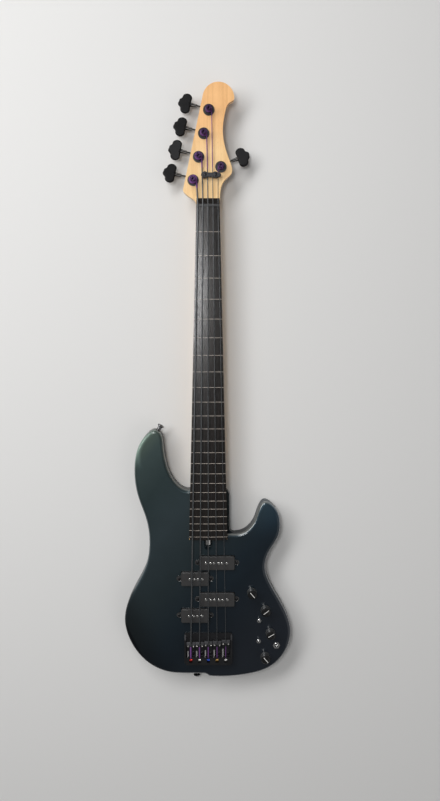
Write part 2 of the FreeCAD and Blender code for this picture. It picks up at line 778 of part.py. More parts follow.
def scoop():
    """What is taken off above the headstock: a round run-out behind the nut, then a flat face."""
    height = BOARD_TOP - HEAD_FACE - 0.7
    start = NUT_END + 0.4 + math.sqrt(SCOOP_RADIUS ** 2 - (SCOOP_RADIUS - height) ** 2)
    axis = Vector(-120, start, HEAD_FACE + SCOOP_RADIUS)
    round_part = Part.makeCylinder(SCOOP_RADIUS, 240, axis, SIDE_AXIS)
    return round_part.fuse(block(-120, 120, start, start + 400, HEAD_FACE, HEAD_FACE + 60))


def throat():
    """What is taken off under the headstock's root, so that its back runs up into the neck."""
    start = NUT_END + THROAT_REACH - 4
    corner = block(-120, 120, NUT_END - 40, start, HEAD_BACK - 1, HEAD_BACK + THROAT_RADIUS)
    round_part = Part.makeCylinder(
        THROAT_RADIUS, 260, Vector(-130, start, HEAD_BACK + THROAT_RADIUS), SIDE_AXIS
    )
    return corner.cut(round_part)


def neck():
    """The neck with its heel and headstock, its truss-rod channel and its bores."""
    heel_end = NECK_END + HEEL_LENGTH
    fade_end = heel_end + HEEL_FADE
    share = (fade_end - NECK_END) / (NUT_END - NECK_END)
    fade_depth = NECK_DEPTH_AT_END + (NECK_DEPTH_AT_NUT - NECK_DEPTH_AT_END) * share
    sections = [
        neck_section(NECK_END, HEEL_THICKNESS, HEEL_CORNER),
        neck_section(heel_end, HEEL_THICKNESS, HEEL_CORNER),
        neck_section(fade_end, fade_depth, 0),
        neck_section(NUT_END + 8, NECK_DEPTH_AT_NUT, 0),
    ]
    pieces = [Part.makeLoft([a, b], True, True) for a, b in zip(sections, sections[1:])]
    head = prism(head_edges(), HEAD_BACK, BOARD_BOTTOM).cut(throat())
    wood = pieces[0].multiFuse(pieces[1:] + [head]).cut(scoop())
    tools = [truss_channel()]
    for index in range(STRING_COUNT):
        site = tuner_centre(index)
        tools.append(upright(BUSHING_RADIUS + FIT, site, HEAD_BACK - 1, HEAD_FACE + 1))
        tools.extend(tuner_placed(hole, index) for hole in tuner_screw_bores(index))
    for x, y in BOLT_SITES:
        site = (x, NECK_END + y)
        tools.append(upright(BOLT_RADIUS + FIT, site, POCKET_FLOOR - 1, POCKET_FLOOR + BOLT_GRIP + 1))
    for x in RETAINER_SCREW_X:
        site = (x, SCALE_LENGTH + RETAINER_FROM_NUT)
        tools.append(upright(RETAINER_SCREW + FIT, site, HEAD_FACE - 11, HEAD_FACE + 1))
    return wood.cut(tools)


def truss_channel():
    """The slot for the truss rod in the top of the neck, open at the heel."""
    half = TRUSS_WIDTH / 2 + SLIDE
    low = BOARD_BOTTOM - TRUSS_DEPTH - 0.5
    return block(-half, half, NECK_END - 1, SCALE_LENGTH - 10, low, BOARD_BOTTOM + 1)


def truss_rod():
    """The steel truss rod with the round stub that its nut turns on."""
    half = TRUSS_WIDTH / 2
    low = BOARD_BOTTOM - TRUSS_DEPTH - 0.3
    bar = block(-half, half, NECK_END + 2, SCALE_LENGTH - 11, low, low + TRUSS_DEPTH)
    stub_end = Vector(0, NECK_END - TRUSS_NUT_LENGTH - 2.5, TRUSS_AXIS)
    stub = Part.makeCylinder(TRUSS_STUB_RADIUS, TRUSS_NUT_LENGTH + 6, stub_end, LONG_AXIS)
    return bar.fuse(stub)


def truss_nut():
    """The spoked wheel at the heel that tightens the truss rod."""
    start = Vector(0, NECK_END - TRUSS_NUT_LENGTH - 1.5, TRUSS_AXIS)
    wheel = Part.makeCylinder(TRUSS_NUT_RADIUS, TRUSS_NUT_LENGTH, start, LONG_AXIS)
    tools = [Part.makeCylinder(TRUSS_STUB_RADIUS + FIT, TRUSS_NUT_LENGTH + 2, start - LONG_AXIS, LONG_AXIS)]
    middle = start + LONG_AXIS * (TRUSS_NUT_LENGTH / 2)
    for k in range(6):
        spoke = FreeCAD.Rotation(LONG_AXIS, 60 * k).multVec(UP)
        inner = middle + spoke * (TRUSS_STUB_RADIUS + 0.8)
        tools.append(Part.makeCylinder(1.3, TRUSS_NUT_RADIUS, inner, spoke))
    return wheel.cut(tools)


def crown_solid(rise, y0, y1):
    """All that lies under a round surface a little above the fingerboard's top."""
    return Part.makeCylinder(BOARD_RADIUS + rise, y1 - y0, Vector(0, y0, BOARD_AXIS), LONG_AXIS)


def swept_across(points, half_width):
    """A section drawn along the neck, swept across it on the fingerboard's curve."""
    wire = Part.makePolygon([Vector(0, y, z) for y, z in points])
    angle = math.degrees(math.asin(half_width / BOARD_RADIUS))
    face = Part.Face(wire)
    face.rotate(Vector(0, 0, BOARD_AXIS), LONG_AXIS, -angle)
    return face.revolve(Vector(0, 0, BOARD_AXIS), LONG_AXIS, 2 * angle)


def fret_line(number):
    """One pale line let into the fingerboard where a fret would lie, flush with its round top."""
    y = line_site(number)
    half = LINE_WIDTH / 2
    low = BOARD_TOP - LINE_DEPTH
    points = [(y - half, low), (y + half, low), (y + half, BOARD_TOP), (y - half, BOARD_TOP)]
    return swept_across(points + points[:1], neck_half(y + half))


def line_slot(number):
    """The sawn slot for one fret line."""
    y = line_site(number)
    half = LINE_WIDTH / 2 + FIT
    low = BOARD_TOP - LINE_DEPTH - FIT
    top = BOARD_TOP + 2
    points = [(y - half, low), (y + half, low), (y + half, top), (y - half, top)]
    return swept_across(points + points[:1], neck_half(y) + 3)


def fingerboard():
    """The fingerboard with its round top, the lines' slots, nut seat and run-out behind the nut."""
    far = NUT_END + 30
    corners = [(neck_half(NECK_END), NECK_END), (neck_half(far), far), (-neck_half(far), far),
               (-neck_half(NECK_END), NECK_END)]
    edges = [flat_line(a, b) for a, b in zip(corners, corners[1:] + corners[:1])]
    blank = prism(edges, BOARD_BOTTOM, BOARD_TOP + 1)
    ends = [edge for edge in blank.Edges if edge.BoundBox.YMax < NECK_END + 0.1 and edge.BoundBox.ZLength > 1]
    blank = blank.makeFillet(BOARD_CORNER, ends).common(crown_solid(0, NECK_END - 5, far + 5))
    tools = [line_slot(number) for number in range(1, LINE_COUNT + 1)]
    tools.append(block(-60, 60, SCALE_LENGTH, NUT_END, BOARD_TOP - NUT_SEAT_DEPTH, BOARD_TOP + 2))
    tools.append(scoop())
    return blank.cut(tools)


def nut():
    """The string nut in its seat, with a shallow slot for each string."""
    half = neck_half(NUT_END) - 0.1
    blank = block(-half, half, SCALE_LENGTH, NUT_END, BOARD_TOP - NUT_SEAT_DEPTH, BOARD_TOP + NUT_RISE + 2)
    blank = blank.common(crown_solid(NUT_RISE, SCALE_LENGTH - 5, NUT_END + 5))
    tools = []
    for index in range(STRING_COUNT):
        points = head_run(index)[1:4]
        near = points[1] + (points[0] - points[1]).normalize() * 12
        far = points[1] + (points[2] - points[1]).normalize() * 12
        path = bent_path([near, points[1], far], STRING_BEND_RADIUS)
        tools.append(tube(path, STRING_DIAMETERS[index] / 2 + FIT))
    return blank.cut(tools)


def neck_bolts():
    """The bolts that hold the neck, heads inside the ferrules."""
    shapes = []
    for x, y in BOLT_SITES:
        screw = pan_screw(4.5, 2.6, BOLT_RADIUS, POCKET_FLOOR + BOLT_GRIP - 3.2)
        shapes.append(aimed(screw, Vector(x, NECK_END + y, 3.2), UP * -1))
    return shapes


def neck_ferrules():
    """The steel cups in the back that the neck bolts pull on."""
    shapes = []
    for x, y in BOLT_SITES:
        site = (x, NECK_END + y)
        cup = upright(FERRULE_RADIUS, site, 0.2, FERRULE_DEPTH)
        cup = cup.cut(upright(5.2, site, -1, 3.2)).cut(upright(BOLT_RADIUS + FIT, site, 0, FERRULE_DEPTH + 1))
        shapes.append(cup)
    return shapes


def string_retainer():
    """The bar that holds four strings down behind the nut, on two feet."""
    y = SCALE_LENGTH + RETAINER_FROM_NUT
    low = HEAD_FACE + RETAINER_LIFT
    half = RETAINER_WIDTH / 2
    left = (RETAINER_ENDS_X[0] + half, y)
    right = (RETAINER_ENDS_X[1] - half, y)
    top = low + RETAINER_THICKNESS
    bar = softened(capsule(left, right, half, low, top), top, 1.2)
    for x in RETAINER_SCREW_X:
        bar = bar.fuse(softened(upright(1.5 * half, (x, y), low, top), top, 1.2))
        bar = bar.fuse(upright(2.6, (x, y), HEAD_FACE, low))
    return bar.cut([upright(RETAINER_SCREW + FIT, (x, y), HEAD_FACE - 1, low + 9) for x in RETAINER_SCREW_X])


def headstock_screws():
    """The screws of the string retainer and of the tuner plates."""
    shapes = []
    top = HEAD_FACE + RETAINER_LIFT + RETAINER_THICKNESS
    for x in RETAINER_SCREW_X:
        screw = pan_screw(3.4, 2.0, RETAINER_SCREW, top - HEAD_FACE + 10)
        shapes.append(aimed(screw, Vector(x, SCALE_LENGTH + RETAINER_FROM_NUT, top), UP))
    for index in range(STRING_COUNT):
        for x, y in tuner_screw_sites(index):
            screw = aimed(pan_screw(2.6, 1.6, 1.3, 9), Vector(x, y, HEAD_BACK - TUNER_PLATE), UP * -1)
            shapes.append(tuner_placed(screw, index))
    return shapes


def tuner_screw_sites(index):
    """Screw sites of a tuner plate, with the key along +X."""
    side = TUNER_SITES[index][3]
    return [(9.0, -7.5 * side), (-7.5, -7.0 * side)]


def tuner_screw_bores(index):
    """Pilot bores for a tuner plate's screws."""
    return [upright(1.3 + FIT, site, HEAD_BACK - 1, HEAD_BACK + 8) for site in tuner_screw_sites(index)]


def tuner_plate(index):
    """A tuner's base plate with the two bearings of its worm."""
    side = TUNER_SITES[index][3]
    top = HEAD_BACK
    low = HEAD_BACK - TUNER_PLATE
    plate = rounded_block((1, 1.5 * side), 24, 25, 3, low, top)
    worm = side * WORM_OFFSET
    foot = GEAR_LEVEL - 3.2
    for x0, x1 in ((-8.5, -5.2), (5.2, 9.0)):
        plate = plate.fuse(block(x0, x1, worm - 3.4, worm + 3.4, foot, low))
    tools = [upright(POST_RADIUS + SLIDE, (0, 0), low - 1, top + 1)]
    tools.append(Part.makeCylinder(JOURNAL_INNER + FIT, 8, Vector(-12, worm, GEAR_LEVEL), SIDE_AXIS))
    tools.append(Part.makeCylinder(JOURNAL_OUTER + FIT, 10, Vector(3, worm, GEAR_LEVEL), SIDE_AXIS))
    tools.extend(upright(1.3 + FIT, site, low - 1, top + 1) for site in tuner_screw_sites(index))
    return tuner_placed(plate.cut(tools), index)


def tuner_bushing(index):
    """The flanged bushing that a tuner's post turns in."""
    site = tuner_centre(index)
    sleeve = ring(BUSHING_RADIUS, POST_RADIUS + FIT, site, HEAD_BACK, HEAD_FACE)
    return sleeve.fuse(ring(FLANGE_RADIUS, POST_RADIUS + FIT, site, HEAD_FACE, HEAD_FACE + FLANGE_THICKNESS))


def worm_thread():
    """The ridge of the worm along +Z, with a turn facing +X at its middle."""
    length = 4 * WORM_LEAD
    inner = WORM_RADIUS - TOOTH_ROOT - 0.2
    outer = WORM_RADIUS + TOOTH_REACH
    wide = TOOTH_HALF + (WORM_RADIUS - inner) * TOOTH_SLOPE
    thin = TOOTH_HALF - TOOTH_REACH * TOOTH_SLOPE
    points = [Vector(x, 0, z) for x, z in ((inner, -wide), (outer, -thin), (outer, thin), (inner, wide))]
    path = Part.makeHelix(WORM_LEAD, length, WORM_RADIUS)
    ridge = Part.Wire(path).makePipeShell([Part.makePolygon(points + points[:1])], True, True)
    ridge.translate(Vector(0, 0, -length / 2))
    return ridge


def tuner_key(index):
    """A tuner's key: the worm shaft and the clover button on it."""
    side = TUNER_SITES[index][3]
    worm = Vector(0, side * WORM_OFFSET, GEAR_LEVEL)
    root = WORM_RADIUS - TOOTH_ROOT
    collar = GEAR_DROP - TUNER_PLATE - SLIDE
    shaft = turned((
        (0, -8.3), (JOURNAL_INNER, -8.3), (JOURNAL_INNER, -4.8), (root, -4.8), (root, 4.8),
        (JOURNAL_OUTER, 4.8), (JOURNAL_OUTER, 9.3), (collar, 9.3), (collar, 10.6), (JOURNAL_OUTER, 11.4),
        (JOURNAL_OUTER, KEY_CENTRE - 2), (0, KEY_CENTRE - 2),
    ))
    shaft.rotate(Vector(0, 0, 0), UP, 90)
    spindle = shaft.fuse(worm_thread())
    spindle.Placement = FreeCAD.Placement(FreeCAD.Matrix(
        0, 0, 1, worm.x, -side, 0, 0, worm.y, 0, -side, 0, worm.z, 0, 0, 0, 1))
    half = [
        (14.5, 0), (13.2, 6.0), (9.4, 9.4), (8.4, 13.8), (3.6, 18.4), (-4.5, 18.6), (-9.6, 13.6), (-9.6, 7.0),
    ]
    outline = half + [(-10.2, 0)] + [(x, -y) for x, y in reversed(half[1:])]
    curve = Part.BSplineCurve()
    points = [Vector(KEY_CENTRE + x, y, -KEY_THICKNESS / 2) for x, y in outline]
    curve.interpolate(Points=points, PeriodicFlag=True)
    clover = Part.Face(Part.Wire(curve.toShape())).extrude(UP * KEY_THICKNESS)
    clover = clover.makeFillet(2.4, [edge for edge in clover.Edges if edge.BoundBox.ZLength < 0.1])
    stem = turned(((0, 0), (3.0, 0), (3.2, 6), (4.6, 16), (0, 16)))
    stem = aimed(stem, Vector(KEY_CENTRE - 22, 0, 0), SIDE_AXIS)
    bore = Part.makeCylinder(JOURNAL_OUTER + 0.02, KEY_CENTRE - 2, Vector(0, 0, 0), SIDE_AXIS)
    button = clover.fuse(stem).cut(bore)
    button = carried(button, worm, FreeCAD.Rotation(SIDE_AXIS, KEY_TILTS[index]))
    return [tuner_placed(spindle, index), tuner_placed(button, index)]


def gear_outline():
    """The worm wheel's toothed outline, with a gap facing +Y and -Y."""
    tip = GEAR_RADIUS + TOOTH_REACH - 0.05
    root = GEAR_RADIUS - TOOTH_ROOT
    wide = TOOTH_HALF + TOOTH_ROOT * TOOTH_SLOPE
    thin = TOOTH_HALF - TOOTH_REACH * TOOTH_SLOPE
    level = GEAR_LEVEL - GEAR_FACE / 2
    points = []
    for tooth in range(GEAR_TEETH):
        angle = math.pi / 2 + (tooth + 0.5) * 2 * math.pi / GEAR_TEETH
        for radius, offset in ((root, -wide), (tip, -thin), (tip, thin), (root, wide)):
            turn = angle + offset / radius
            points.append(Vector(radius * math.cos(turn), radius * math.sin(turn), level))
    return Part.makePolygon(points + points[:1])


def tuner_post(index):
    """A tuner's post, the worm wheel fixed on its foot and the wheel's screw."""
    top = HEAD_FACE + POST_HEIGHT
    collar = HEAD_FACE + FLANGE_THICKNESS + 1.0
    head = top - POST_HEAD_HEIGHT
    shoulder = GEAR_LEVEL + GEAR_FACE / 2 + 0.2
    foot = GEAR_LEVEL - GEAR_FACE / 2
    hub = WORM_OFFSET - WORM_RADIUS - TOOTH_REACH - 2 * SLIDE
    plate = HEAD_BACK - TUNER_PLATE
    post = turned((
        (0, foot), (3.0, foot), (3.0, shoulder), (hub, shoulder), (hub, plate), (POST_RADIUS, plate),
        (POST_RADIUS, collar - 0.4), (POST_RADIUS - 0.4, collar), (POST_WAIST, collar),
        (POST_WAIST, head - 1.2), (POST_HEAD, head), (POST_HEAD, top - 0.8), (POST_HEAD - 0.8, top), (0, top),
    ))
    slot = block(-1.9, 1.9, -20, 20, top - 4.2, top + 1)
    bore = upright(2.3, (0, 0), top - 14, top + 1)
    screw_room = upright(1.5 + 0.02, (0, 0), foot - 1, foot + 7)
    wheel = Part.Face(gear_outline()).extrude(UP * GEAR_FACE)
    wheel = wheel.cut(upright(3.0 + 0.02, (0, 0), foot - 1, shoulder + 1))
    screw = aimed(pan_screw(4.2, 1.4, 1.5, 6), Vector(0, 0, foot), UP * -1)
    pieces = [post.cut([slot, bore, screw_room]), wheel]
    return [tuner_placed(piece, index) for piece in pieces] + [tuner_placed(screw, index)]


def bridge_screw_sites():
    """Screw sites of the bridge, beside each string behind its saddle."""
    return [(string_x(index, 0) + 5.0, -22.5) for index in range(STRING_COUNT)]


def intonation_axis(index):
    """Start of a string's intonation screw on the back of the bridge."""
    return Vector(string_x(index, 0) - INTONATION_OFFSET, -BRIDGE_BACK, BRIDGE_TOP + INTONATION_HEIGHT)


def bridge_plate():
    """The bridge's plate, sloped side walls and the rear block that holds the ball ends."""
    half = BRIDGE_WIDTH / 2
    plate = rounded_block((0, (BRIDGE_FRONT - BRIDGE_BACK) / 2), BRIDGE_WIDTH, BRIDGE_FRONT + BRIDGE_BACK, 3,
                          BODY_TOP, BRIDGE_TOP)
    wall_top = BRIDGE_TOP + BRIDGE_WALL_HEIGHT
    side = [
        Vector(0, -BRIDGE_BACK + 3, BRIDGE_TOP), Vector(0, BRIDGE_FRONT - 3.5, BRIDGE_TOP),
        Vector(0, BRIDGE_FRONT - 12, wall_top), Vector(0, -BRIDGE_BACK + 3, wall_top),
    ]
    wall = Part.Face(Part.makePolygon(side + side[:1])).extrude(SIDE_AXIS * BRIDGE_WALL)
    left = wall.translated(SIDE_AXIS * -half)
    right = wall.translated(SIDE_AXIS * (half - BRIDGE_WALL))
    front = -BRIDGE_BACK + BRIDGE_BLOCK
    rear = block(-half + 3, half - 3, -BRIDGE_BACK, front, BRIDGE_TOP, BRIDGE_TOP + BRIDGE_BLOCK_HEIGHT)
    frame = plate.multiFuse([left, right, rear]).removeSplitter()
    tools = []
    for index in range(STRING_COUNT):
        ball = ball_point(index)
        room = BALL_RADIUS + 0.5
        wide = BALL_LENGTH / 2 + 0.5
        low = BRIDGE_TOP + 0.2
        high = BRIDGE_TOP + 30
        tools.append(block(ball.x - wide, ball.x + wide, ball.y - room, ball.y + room, low, high))
        slot = STRING_DIAMETERS[index] / 2 + 0.4
        tools.append(block(ball.x - slot, ball.x + slot, ball.y, front + 1, ball.z - slot, high))
        start = intonation_axis(index) - LONG_AXIS
        tools.append(Part.makeCylinder(INTONATION_RADIUS + FIT, BRIDGE_BLOCK + 2, start, LONG_AXIS))
        tools.append(Part.makeCylinder(3.6, 4.0, start, LONG_AXIS))
    for site in bridge_screw_sites():
        tools.append(upright(SCREW_BITE + FIT, site, BODY_TOP - 1, BRIDGE_TOP + 1))
        tools.append(upright(3.6, site, BRIDGE_TOP - 1.8, BRIDGE_TOP + 1))
    return frame.cut(tools)


def bridge_screws():
    """The wood screws that hold the bridge, heads sunk in its plate."""
    level = BRIDGE_TOP - 1.8
    screw = pan_screw(3.4, 1.6, SCREW_BITE, level - BODY_TOP + 21)
    return [aimed(screw, Vector(x, y, level), UP) for x, y in bridge_screw_sites()]


def saddle(index):
    """One saddle and its two height grub screws, with room in its groove for the string's slant."""
    point = saddle_point(index)
    half = SADDLE_WIDTH / 2
    low = BRIDGE_TOP + SADDLE_LIFT
    crest = point.z - STRING_DIAMETERS[index] / 2 + 0.4
    back = point.y - SADDLE_BACK
    front = point.y + SADDLE_FRONT
    rows = [
        (front, low), (front, crest - 4.5), (front - 2.5, crest - 2.6), (point.y + 1.5, crest),
        (point.y - 1.5, crest - 0.2), (back, crest - 3.2), (back, low),
    ]
    profile = [Vector(point.x - half, y, z) for y, z in rows]
    form = Part.Face(Part.makePolygon(profile + profile[:1])).extrude(SIDE_AXIS * SADDLE_WIDTH)
    ball = ball_point(index)
    nut_side = nut_point(index)
    tail = point + (ball - point).normalize() * 24
    lead = point + (nut_side - point).normalize() * 24
    drop = UP * -0.12
    slant = abs(string_x(index, point.y + SADDLE_TRAVEL) - point.x)
    radius = STRING_DIAMETERS[index] / 2 + 0.03 + slant
    tools = [tube([Part.makeLine(point + drop, end + drop)], radius) for end in (tail, lead)]
    tools.append(Part.makeSphere(radius, point + drop))
    start = intonation_axis(index)
    depth = point.y - 2.4 - start.y
    tools.append(Part.makeCylinder(INTONATION_RADIUS + FIT, depth, start, LONG_AXIS))
    grubs = []
    for offset in (-GRUB_OFFSET, GRUB_OFFSET):
        site = (point.x + offset, point.y)
        tools.append(upright(GRUB_RADIUS + 0.02, site, low - 1, crest + 5))
        grub = upright(GRUB_RADIUS, site, BRIDGE_TOP + FIT, crest + 0.6)
        grubs.append(grub.cut(hexagon(HEX_KEY, site, crest - 1.4, crest + 2)))
    return [form.cut(tools)] + grubs


def intonation_screw(index):
    """The screw that carries a saddle to and fro, its head in the bridge's rear face."""
    start = intonation_axis(index) + LONG_AXIS * 0.2
    reach = saddle_point(index).y - 3.0 - start.y
    thin = INTONATION_RADIUS
    screw = turned(((0, 0), (3.3, 0), (3.3, 2.7), (thin, 2.7), (thin, reach), (0, reach)))
    socket = hexagon(HEX_KEY, (0, 0), -1, 1.6)
    return aimed(screw.cut(socket), start, LONG_AXIS)


def pole_sites(site):
    """Sites of a pickup half's pole pieces: two under each string."""
    return [
        (string_x(index, site[1]) + offset, site[1])
        for index in site[2]
        for offset in (-POLE_OFFSET, POLE_OFFSET)
    ]


def pickup_cover(site):
    """The moulded cover of a pickup half, open below, with its two ears."""
    length = pickup_length(site)
    low = PICKUP_TOP - PICKUP_HEIGHT
    shell = rounded_block(site[:2], length, PICKUP_WIDTH, PICKUP_CORNER, low, PICKUP_TOP)
    shell = softened(shell, PICKUP_TOP, 1.4)
    left, right = ear_sites(site)
    shell = shell.fuse(capsule(left, right, EAR_RADIUS, BODY_TOP - EAR_THICKNESS + FIT, BODY_TOP + FIT))
    room = rounded_block(site[:2], length - 2 * PICKUP_WALL, PICKUP_WIDTH - 2 * PICKUP_WALL, 1.5, low - 1,
                         PICKUP_TOP - PICKUP_WALL)
    tools = [room]
    tools.extend(upright(POLE_RADIUS + FIT, pole, low, PICKUP_TOP + 1) for pole in pole_sites(site))
    tools.extend(upright(SCREW_BITE + FIT, ear, low, PICKUP_TOP) for ear in (left, right))
    return shell.cut(tools)


def former_level():
    """Level of the underside of a pickup's flat former."""
    return PICKUP_TOP - PICKUP_HEIGHT + 0.2


def pickup_coil(site):
    """A pickup half's winding on its flat former, round the pole pieces."""
    length = pickup_length(site) - 2 * PICKUP_WALL - 0.6
    width = PICKUP_WIDTH - 2 * PICKUP_WALL - 0.6
    low = former_level()
    former = rounded_block(site[:2], length, width, 1.5, low, low + 2.4)
    poles = pole_sites(site)
    coil_low = low + 2.4
    coil_top = PICKUP_TOP - PICKUP_WALL - 0.2
    coil = capsule(poles[0], poles[-1], 7.5, coil_low, coil_top)
    coil = coil.cut(capsule(poles[0], poles[-1], POLE_RADIUS + 0.4, coil_low - 1, coil_top + 1))
    bores = [upright(POLE_RADIUS + FIT, pole, low - 1, coil_low + 1) for pole in poles]
    return [former.cut(bores), coil]


def pickup_poles(site):
    """The magnet rods of a pickup half, just proud of the cover."""
    return [upright(POLE_RADIUS, pole, former_level(), PICKUP_TOP + POLE_PROUD) for pole in pole_sites(site)]


def pickup_screws(site):
    """The two screws of a pickup half."""
    screw = pan_screw(2.9, 1.8, SCREW_BITE, 17)
    return [aimed(screw, Vector(x, y, BODY_TOP + FIT), UP) for x, y in ear_sites(site)]


def pickup_lead(number):
    """A pickup's lead from its former, through the drilled channels, to the control cavity."""
    level = CHANNEL_HEIGHT + (1.4 if number % 2 else -1.4)
    points = [Vector(x, y, level) for x, y in lead_run(number)]
    points = [Vector(points[0].x, points[0].y, former_level())] + points
    points.append(Vector(points[-1].x, points[-1].y, CAVITY_CEILING - 1.7))
    return tube(bent_path(points, 2.5), LEAD_RADIUS)


def pot(site):
    """A pot: its can under the cavity's roof and its threaded neck through it."""
    can = upright(POT_RADIUS, site, CAVITY_CEILING - POT_HEIGHT, CAVITY_CEILING)
    threaded = upright(THREAD_RADIUS, site, CAVITY_CEILING, BODY_TOP + 4.6)
    return can.fuse(threaded).cut(upright(SHAFT_RADIUS + FIT, site, CAVITY_CEILING - 3, BODY_TOP + 6))


def knob(number):
    """A knob on its pot shaft, with its set screw and its inlaid pointer line."""
    site = POT_SITES[number]
    seat = Vector(site[0], site[1], BODY_TOP)
    bore = SHAFT_RADIUS + 0.02
    shell = turned((
        (0, 15.5), (bore, 15.5), (bore, 5.6), (7.6, 5.6), (7.6, 0.8), (KNOB_RADIUS, 0.8),
        (KNOB_RADIUS, 2.6), (KNOB_RADIUS - 0.5, 3.6), (KNOB_RADIUS - 0.8, KNOB_HEIGHT - 1.3),
        (KNOB_RADIUS - 1.8, KNOB_HEIGHT - 0.3), (KNOB_RADIUS - 4.0, KNOB_HEIGHT), (0, KNOB_HEIGHT),
    ))
    groove = block(-6, KNOB_RADIUS + 1, -0.6, 0.6, KNOB_HEIGHT - 1.0, KNOB_HEIGHT + 1)
    screw_way = Part.makeCylinder(1.5 + 0.02, 12, Vector(0, -bore, 10), LONG_AXIS * -1)
    set_screw = Part.makeCylinder(1.5, 4.5, Vector(0, -bore - 0.4, 10), LONG_AXIS * -1)
    pointer = block(-5.95, KNOB_RADIUS - 2.2, -0.55, 0.55, KNOB_HEIGHT - 1.0, KNOB_HEIGHT + 0.05)
    shaft = Part.makeCylinder(SHAFT_RADIUS, 15.4 + CAVITY_ROOF + 2, Vector(0, 0, -CAVITY_ROOF - 2))
    turn = FreeCAD.Rotation(UP, POINTER_ANGLES[number])
    pieces = [shell.cut([groove, screw_way]), shaft, set_screw, pointer]
    return [carried(piece, seat, turn) for piece in pieces]


def switch_body(site):
    """A mini switch: its case under the cavity's roof and its threaded neck through it."""
    x, y = site
    case = block(x - 3.5, x + 3.5, y - 6.5, y + 6.5, CAVITY_CEILING - 9, CAVITY_CEILING)
    threaded = upright(SWITCH_THREAD, site, CAVITY_CEILING, BODY_TOP + 4.8)
    reach = SWITCH_THREAD + 1
    pin_room = Part.makeCylinder(
        PIVOT_PIN + FIT, 2 * reach, Vector(x - reach, y, BODY_TOP + SWITCH_PIVOT), SIDE_AXIS)
    return case.fuse(threaded).cut([upright(2.3, site, BODY_TOP - 4, BODY_TOP + 6), pin_room])


def switch_lever(site):
    """A switch's lever on its pivot pin, leaning towards the headstock."""
    stick = turned(((0, -2.6), (1.0, -2.6), (1.1, 0), (1.6, 12.4), (1.2, 13.4), (0, 13.7)))
    reach = SWITCH_THREAD - SLIDE
    pin = Part.makeCylinder(PIVOT_PIN, 2 * reach, Vector(-reach, 0, 0), SIDE_AXIS)
    lever = stick.fuse([Part.makeSphere(2.1, Vector(0, 0, 0)), pin])
    pivot = Vector(site[0], site[1], BODY_TOP + SWITCH_PIVOT)
    return carried(lever, pivot, FreeCAD.Rotation(SIDE_AXIS, -SWITCH_TILT))


def output_jack():
    """The barrel jack: its threaded mouth in the top, its barrel in the cavity."""
    top = BODY_TOP + 4.0
    low = top - JACK_DEPTH - 2
    barrel = upright(6.0, JACK_SITE, low, CAVITY_CEILING)
    mouth = upright(JACK_THREAD, JACK_SITE, CAVITY_CEILING, top)
    return barrel.fuse(mouth).cut(upright(JACK_BORE, JACK_SITE, top - JACK_DEPTH, top + 1))


def control_nuts():
    """The hexagon nuts of the pots, the switches and the jack."""
    nuts = [hex_nut(10, THREAD_RADIUS + FIT, site, BODY_TOP, BODY_TOP + 2.4) for site in POT_SITES]
    nuts.extend(hex_nut(8, SWITCH_THREAD + FIT, site, BODY_TOP, BODY_TOP + 2.2) for site in SWITCH_SITES)
    nuts.append(hex_nut(12.5, JACK_THREAD + FIT, JACK_SITE, BODY_TOP, BODY_TOP + 2.6))
    return nuts


def control_cover():
    """The cover plate let into the back, flush with it."""
    plate = control_room(COVER_MARGIN - SLIDE, 0, COVER_THICKNESS)
    tools = [upright(COVER_SCREW + FIT, site, -1, COVER_THICKNESS + 1) for site in COVER_SCREWS]
    tools.extend(upright(2.6, site, -1, 1.2) for site in COVER_SCREWS)
    return plate.cut(tools)


def cover_screws():
    """The screws of the control cover, heads below the back's surface."""
    screw = pan_screw(2.4, 1.0, COVER_SCREW, 12)
    return [aimed(screw, Vector(x, y, 1.2), UP * -1) for x, y in COVER_SCREWS]


def preamp_board():
    """The preamp's circuit board under the cavity's roof, with its parts."""
    a = Vector(POT_SITES[0][0], POT_SITES[0][1], 0)
    b = Vector(POT_SITES[1][0], POT_SITES[1][1], 0)
    top = CAVITY_CEILING
    board = block(-11, 11, -11, 11, top - 1.6, top)
    for x, y, size, height in ((-5, 5, 6, 4), (5, -6, 5, 6), (6, 6, 4, 7), (-6, -5, 7, 3)):
        half = size / 2
        board = board.fuse(block(x - half, x + half, y - half, y + half, top - 1.6 - height, top - 1.6))
    angle = math.degrees(math.atan2((b - a).y, (b - a).x))
    return carried(board, (a + b) * 0.5, FreeCAD.Rotation(UP, angle))


def battery():
    """The preamp's battery, standing on the control cover under the switches."""
    x = (SWITCH_SITES[0][0] + SWITCH_SITES[1][0]) / 2
    y = (SWITCH_SITES[0][1] + SWITCH_SITES[1][1]) / 2
    return rounded_block((x, y), 26, 48, 2, COVER_THICKNESS + FIT, COVER_THICKNESS + 17.5)


def strap_button(seat, direction):
    """A strap button on its seat, with its screw."""
    shell = turned((
        (2.1, 0), (5.4, 0), (5.4, 1.2), (4.2, 2.6), (4.2, STRAP_LENGTH - 5),
        (STRAP_RADIUS, STRAP_LENGTH - 2.6), (STRAP_RADIUS, STRAP_LENGTH - 1.2), (5.6, STRAP_LENGTH),
        (3.6, STRAP_LENGTH), (3.6, STRAP_LENGTH - 2.4), (2.1, STRAP_LENGTH - 2.4),
    ))
    screw = pan_screw(3.4, 2.0, SCREW_BITE, STRAP_LENGTH - 2.4 + 24)
    screw.translate(UP * (STRAP_LENGTH - 2.4))
    return [aimed(shell, seat, direction), aimed(screw, seat, direction)]


def write(name, shapes):
    """Write one piece, or a group of like pieces, to its own file."""
    solids = [solid for shape in shapes for solid in shape.Solids]
    for solid in solids:
        if not solid.isValid() or solid.Volume <= 0:
            print("unsound solid in", name)
    shape = solids[0] if len(solids) == 1 else Part.makeCompound(solids)
    shape.exportStep("parts/" + name + ".step")


